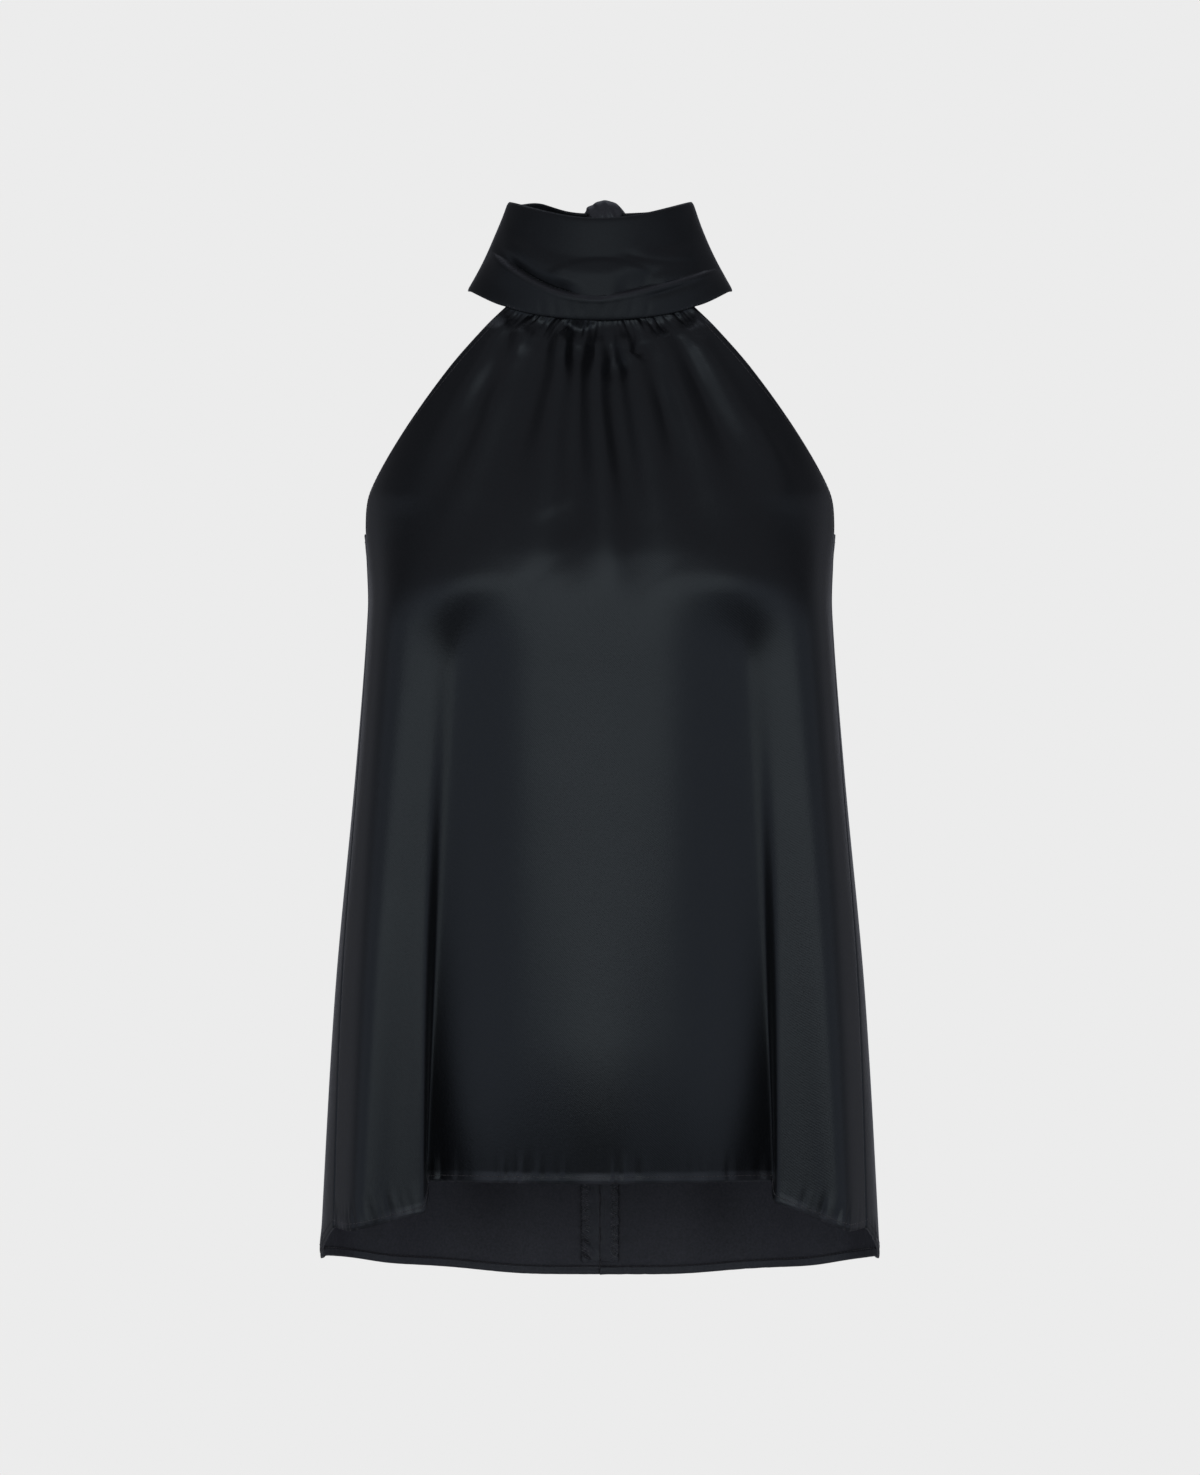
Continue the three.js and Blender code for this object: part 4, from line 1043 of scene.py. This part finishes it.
def closed_ball(name, points, material):
    """A closed mesh over a grid whose first and last columns meet and whose rows end at two poles."""
    rows, columns = points.shape[:2]
    ring = columns - 1
    vertices = [points[0, :ring].mean(0), *points[:, :ring].reshape(-1, 3), points[-1, :ring].mean(0)]
    index = 1 + np.arange(rows * ring).reshape(rows, ring)
    beyond = np.roll(index, -1, axis=1)
    quads = np.stack([index[:-1], index[1:], beyond[1:], beyond[:-1]], -1).reshape(-1, 4).tolist()
    caps = [[0, int(a), int(b)] for a, b in zip(index[0], beyond[0])]
    caps += [[len(vertices) - 1, int(b), int(a)] for a, b in zip(index[-1], beyond[-1])]
    flat = KNOT_FACE * np.stack(np.meshgrid(np.arange(ring), np.arange(rows)), -1).reshape(-1, 2)
    uv = np.concatenate([[[0, 0]], flat, [[0, rows * KNOT_FACE]]])
    return mesh_object(name, np.array(vertices), quads + caps, material, uv)


dress(closed_ball("blouse_tie_knot", knot, knot_satin_painted_light), "tie_knot")

# ---- Tie ends ----

for name, tail in TAILS.items():
    across, down = np.meshgrid(np.linspace(-1, 1, TAIL_COLUMNS), np.linspace(0, 1, TAIL_ROWS))
    points = tail_surface(tail, across, down)
    uv = lengths(points)
    fallen = points[0, 0, 2] - points[..., 2]
    sway = TAIL_PLEATS.sway * np.sin(fallen / TAIL_PLEATS.sway_over)
    pleats = TAIL_PLEATS.deep * np.cos(across * pi * TAIL_PLEATS.turns + sway)
    w = TAIL_WAVES
    waves = w.deep * np.cos(across * pi * w.turns + fallen / w.over + tail.phase)
    detail = pleats * np.exp(-fallen / TAIL_PLEATS.fade)
    detail += waves * within(w.starts, w.full, w.fades_from, w.gone, fallen)
    points, n = laid_on(points, normals(points, BACKWARD), detail, BACKWARD)
    points, n = drawn_in(points, n, BACKWARD, (np.minimum(*from_sides(uv)), "side"))
    dress(shell(f"blouse_{name}", points, n, TAIL_FACE, -TAIL_FACE, satin_band, uv), name)

# ---- Stitches ----

sewn = ("centre_left", "side_left", "side_right")
seam_threads = [stitch for seam in sewn for stitch in seam_stitches(*seams[seam])]
stitching = {
    "seams": thread("seam_stitching", seam_threads, 0.5, sewing),
    "front_hem": thread("front_hem_stitching", hem_stitches, 0.24, sewing),
    "armholes": thread("armhole_stitching", armhole_stitches, 0.22, sewing),
    "neck": thread("neck_seam_stitching", neck_stitches, 0.2, sewing),
}
for word in ("left", "right"):
    for name, radius, material, sides in (("back", 0.24, sewing, 6), ("overlock", 0.2, overlocking, 4)):
        name = f"{name}_{word}"
        stitching[name] = thread(f"{name}_stitching", stitches[name], radius, material, sides)
for made in stitching.values():
    dress(made)

# ---- Stage, in metres ----

FLOOR = Sizes(radius=1.5, level=-1.4, corners=96)
turns = np.linspace(0, 2 * pi, FLOOR.corners, endpoint=False)
rim = [(FLOOR.radius * math.cos(t), FLOOR.radius * math.sin(t), FLOOR.level) for t in turns]
floor_mesh = bpy.data.meshes.new("floor")
floor_mesh.from_pydata(rim, [], [list(range(FLOOR.corners))])
pale = Nodes("pale_floor")
pale.set(Base_Color=(0.8, 0.8, 0.8, 1), Roughness=0.9, Specular_IOR_Level=0.1)
floor_mesh.materials.append(pale.material)
add_to_scene("floor", floor_mesh)

# The camera sees one grey, and the blouse is lit a little by another.
SEEN, LIT = (0.8388, 0.8388, 0.8388, 1), (0.083, 0.083, 0.092, 1)
scene = bpy.context.scene
scene.world = bpy.data.worlds.new("studio")
scene.world.use_nodes = True
tree = scene.world.node_tree
tree.nodes.clear()
seen, lit, ray, both, out = (tree.nodes.new(f"ShaderNode{kind}") for kind in (
    "Background", "Background", "LightPath", "MixShader", "OutputWorld"))
seen.inputs["Color"].default_value, lit.inputs["Color"].default_value = SEEN, LIT
for source, target in ((ray.outputs["Is Camera Ray"], both.inputs[0]), (lit.outputs[0], both.inputs[1]),
                       (seen.outputs[0], both.inputs[2]), (both.outputs[0], out.inputs["Surface"])):
    tree.links.new(source, target)

MIDDLE = np.array((0, 0, -0.28))
WHITE, WARM, LAVENDER = (1, 1, 1), (1.0, 0.92, 0.98), (0.86, 0.88, 1.0)
# Soft panels that face the middle of the blouse: azimuth (0 is in front, 90 on the +X side), elevation,
# distance, width, height, radiance and colour.
LIGHTS = (
    ("front_light", 0, 11, 3.9, 5.0, 2.18, 1.0, WHITE),
    ("top_light", 0, 56, 3.0, 9.0, 4.0, 0.155, WARM),
    *((name, side * azimuth, -2, 3.9, width, 2.9, radiance, LAVENDER) for side in (-1, 1)
      for name, azimuth, width, radiance in (("side_light", 62, 4.5, 0.40), ("flank_light", 115, 3.9, 0.11))),
    ("crown_light", 180, 62, 3.9, 3.4, 2.6, 0.4, LAVENDER),
    ("rear_light", 180, 8, 3.9, 3.0, 2.9, 0.32, LAVENDER),
)
for name, azimuth, elevation, distance, width, height, radiance, colour in LIGHTS:
    a, e = math.radians(azimuth), math.radians(elevation)
    way = np.array((math.sin(a) * math.cos(e), -math.cos(a) * math.cos(e), math.sin(e)))
    light = bpy.data.lights.new(name, "AREA")
    light.shape = "RECTANGLE"
    light.size, light.size_y = width, height
    light.energy = radiance * pi * width * height
    light.color = colour
    panel = add_to_scene(name, light)
    panel.location = MIDDLE + way * distance
    panel.rotation_mode = "QUATERNION"
    panel.rotation_quaternion = Vector(-way).to_track_quat("-Z", "Y")
    panel.visible_camera = False

# ---- Camera ----

DISTANCE, FRAME_HEIGHT, LEVEL, SENSOR = 3.4, 0.95875, -0.2811, 36
camera_data = bpy.data.cameras.new("camera")
camera_data.sensor_width = SENSOR
camera_data.lens = SENSOR * DISTANCE / FRAME_HEIGHT
camera = add_to_scene("camera", camera_data)
camera.location = (0, -DISTANCE, LEVEL)
camera.rotation_euler = (pi / 2, 0, 0)
scene.camera = camera
scene.view_settings.view_transform = "Standard"
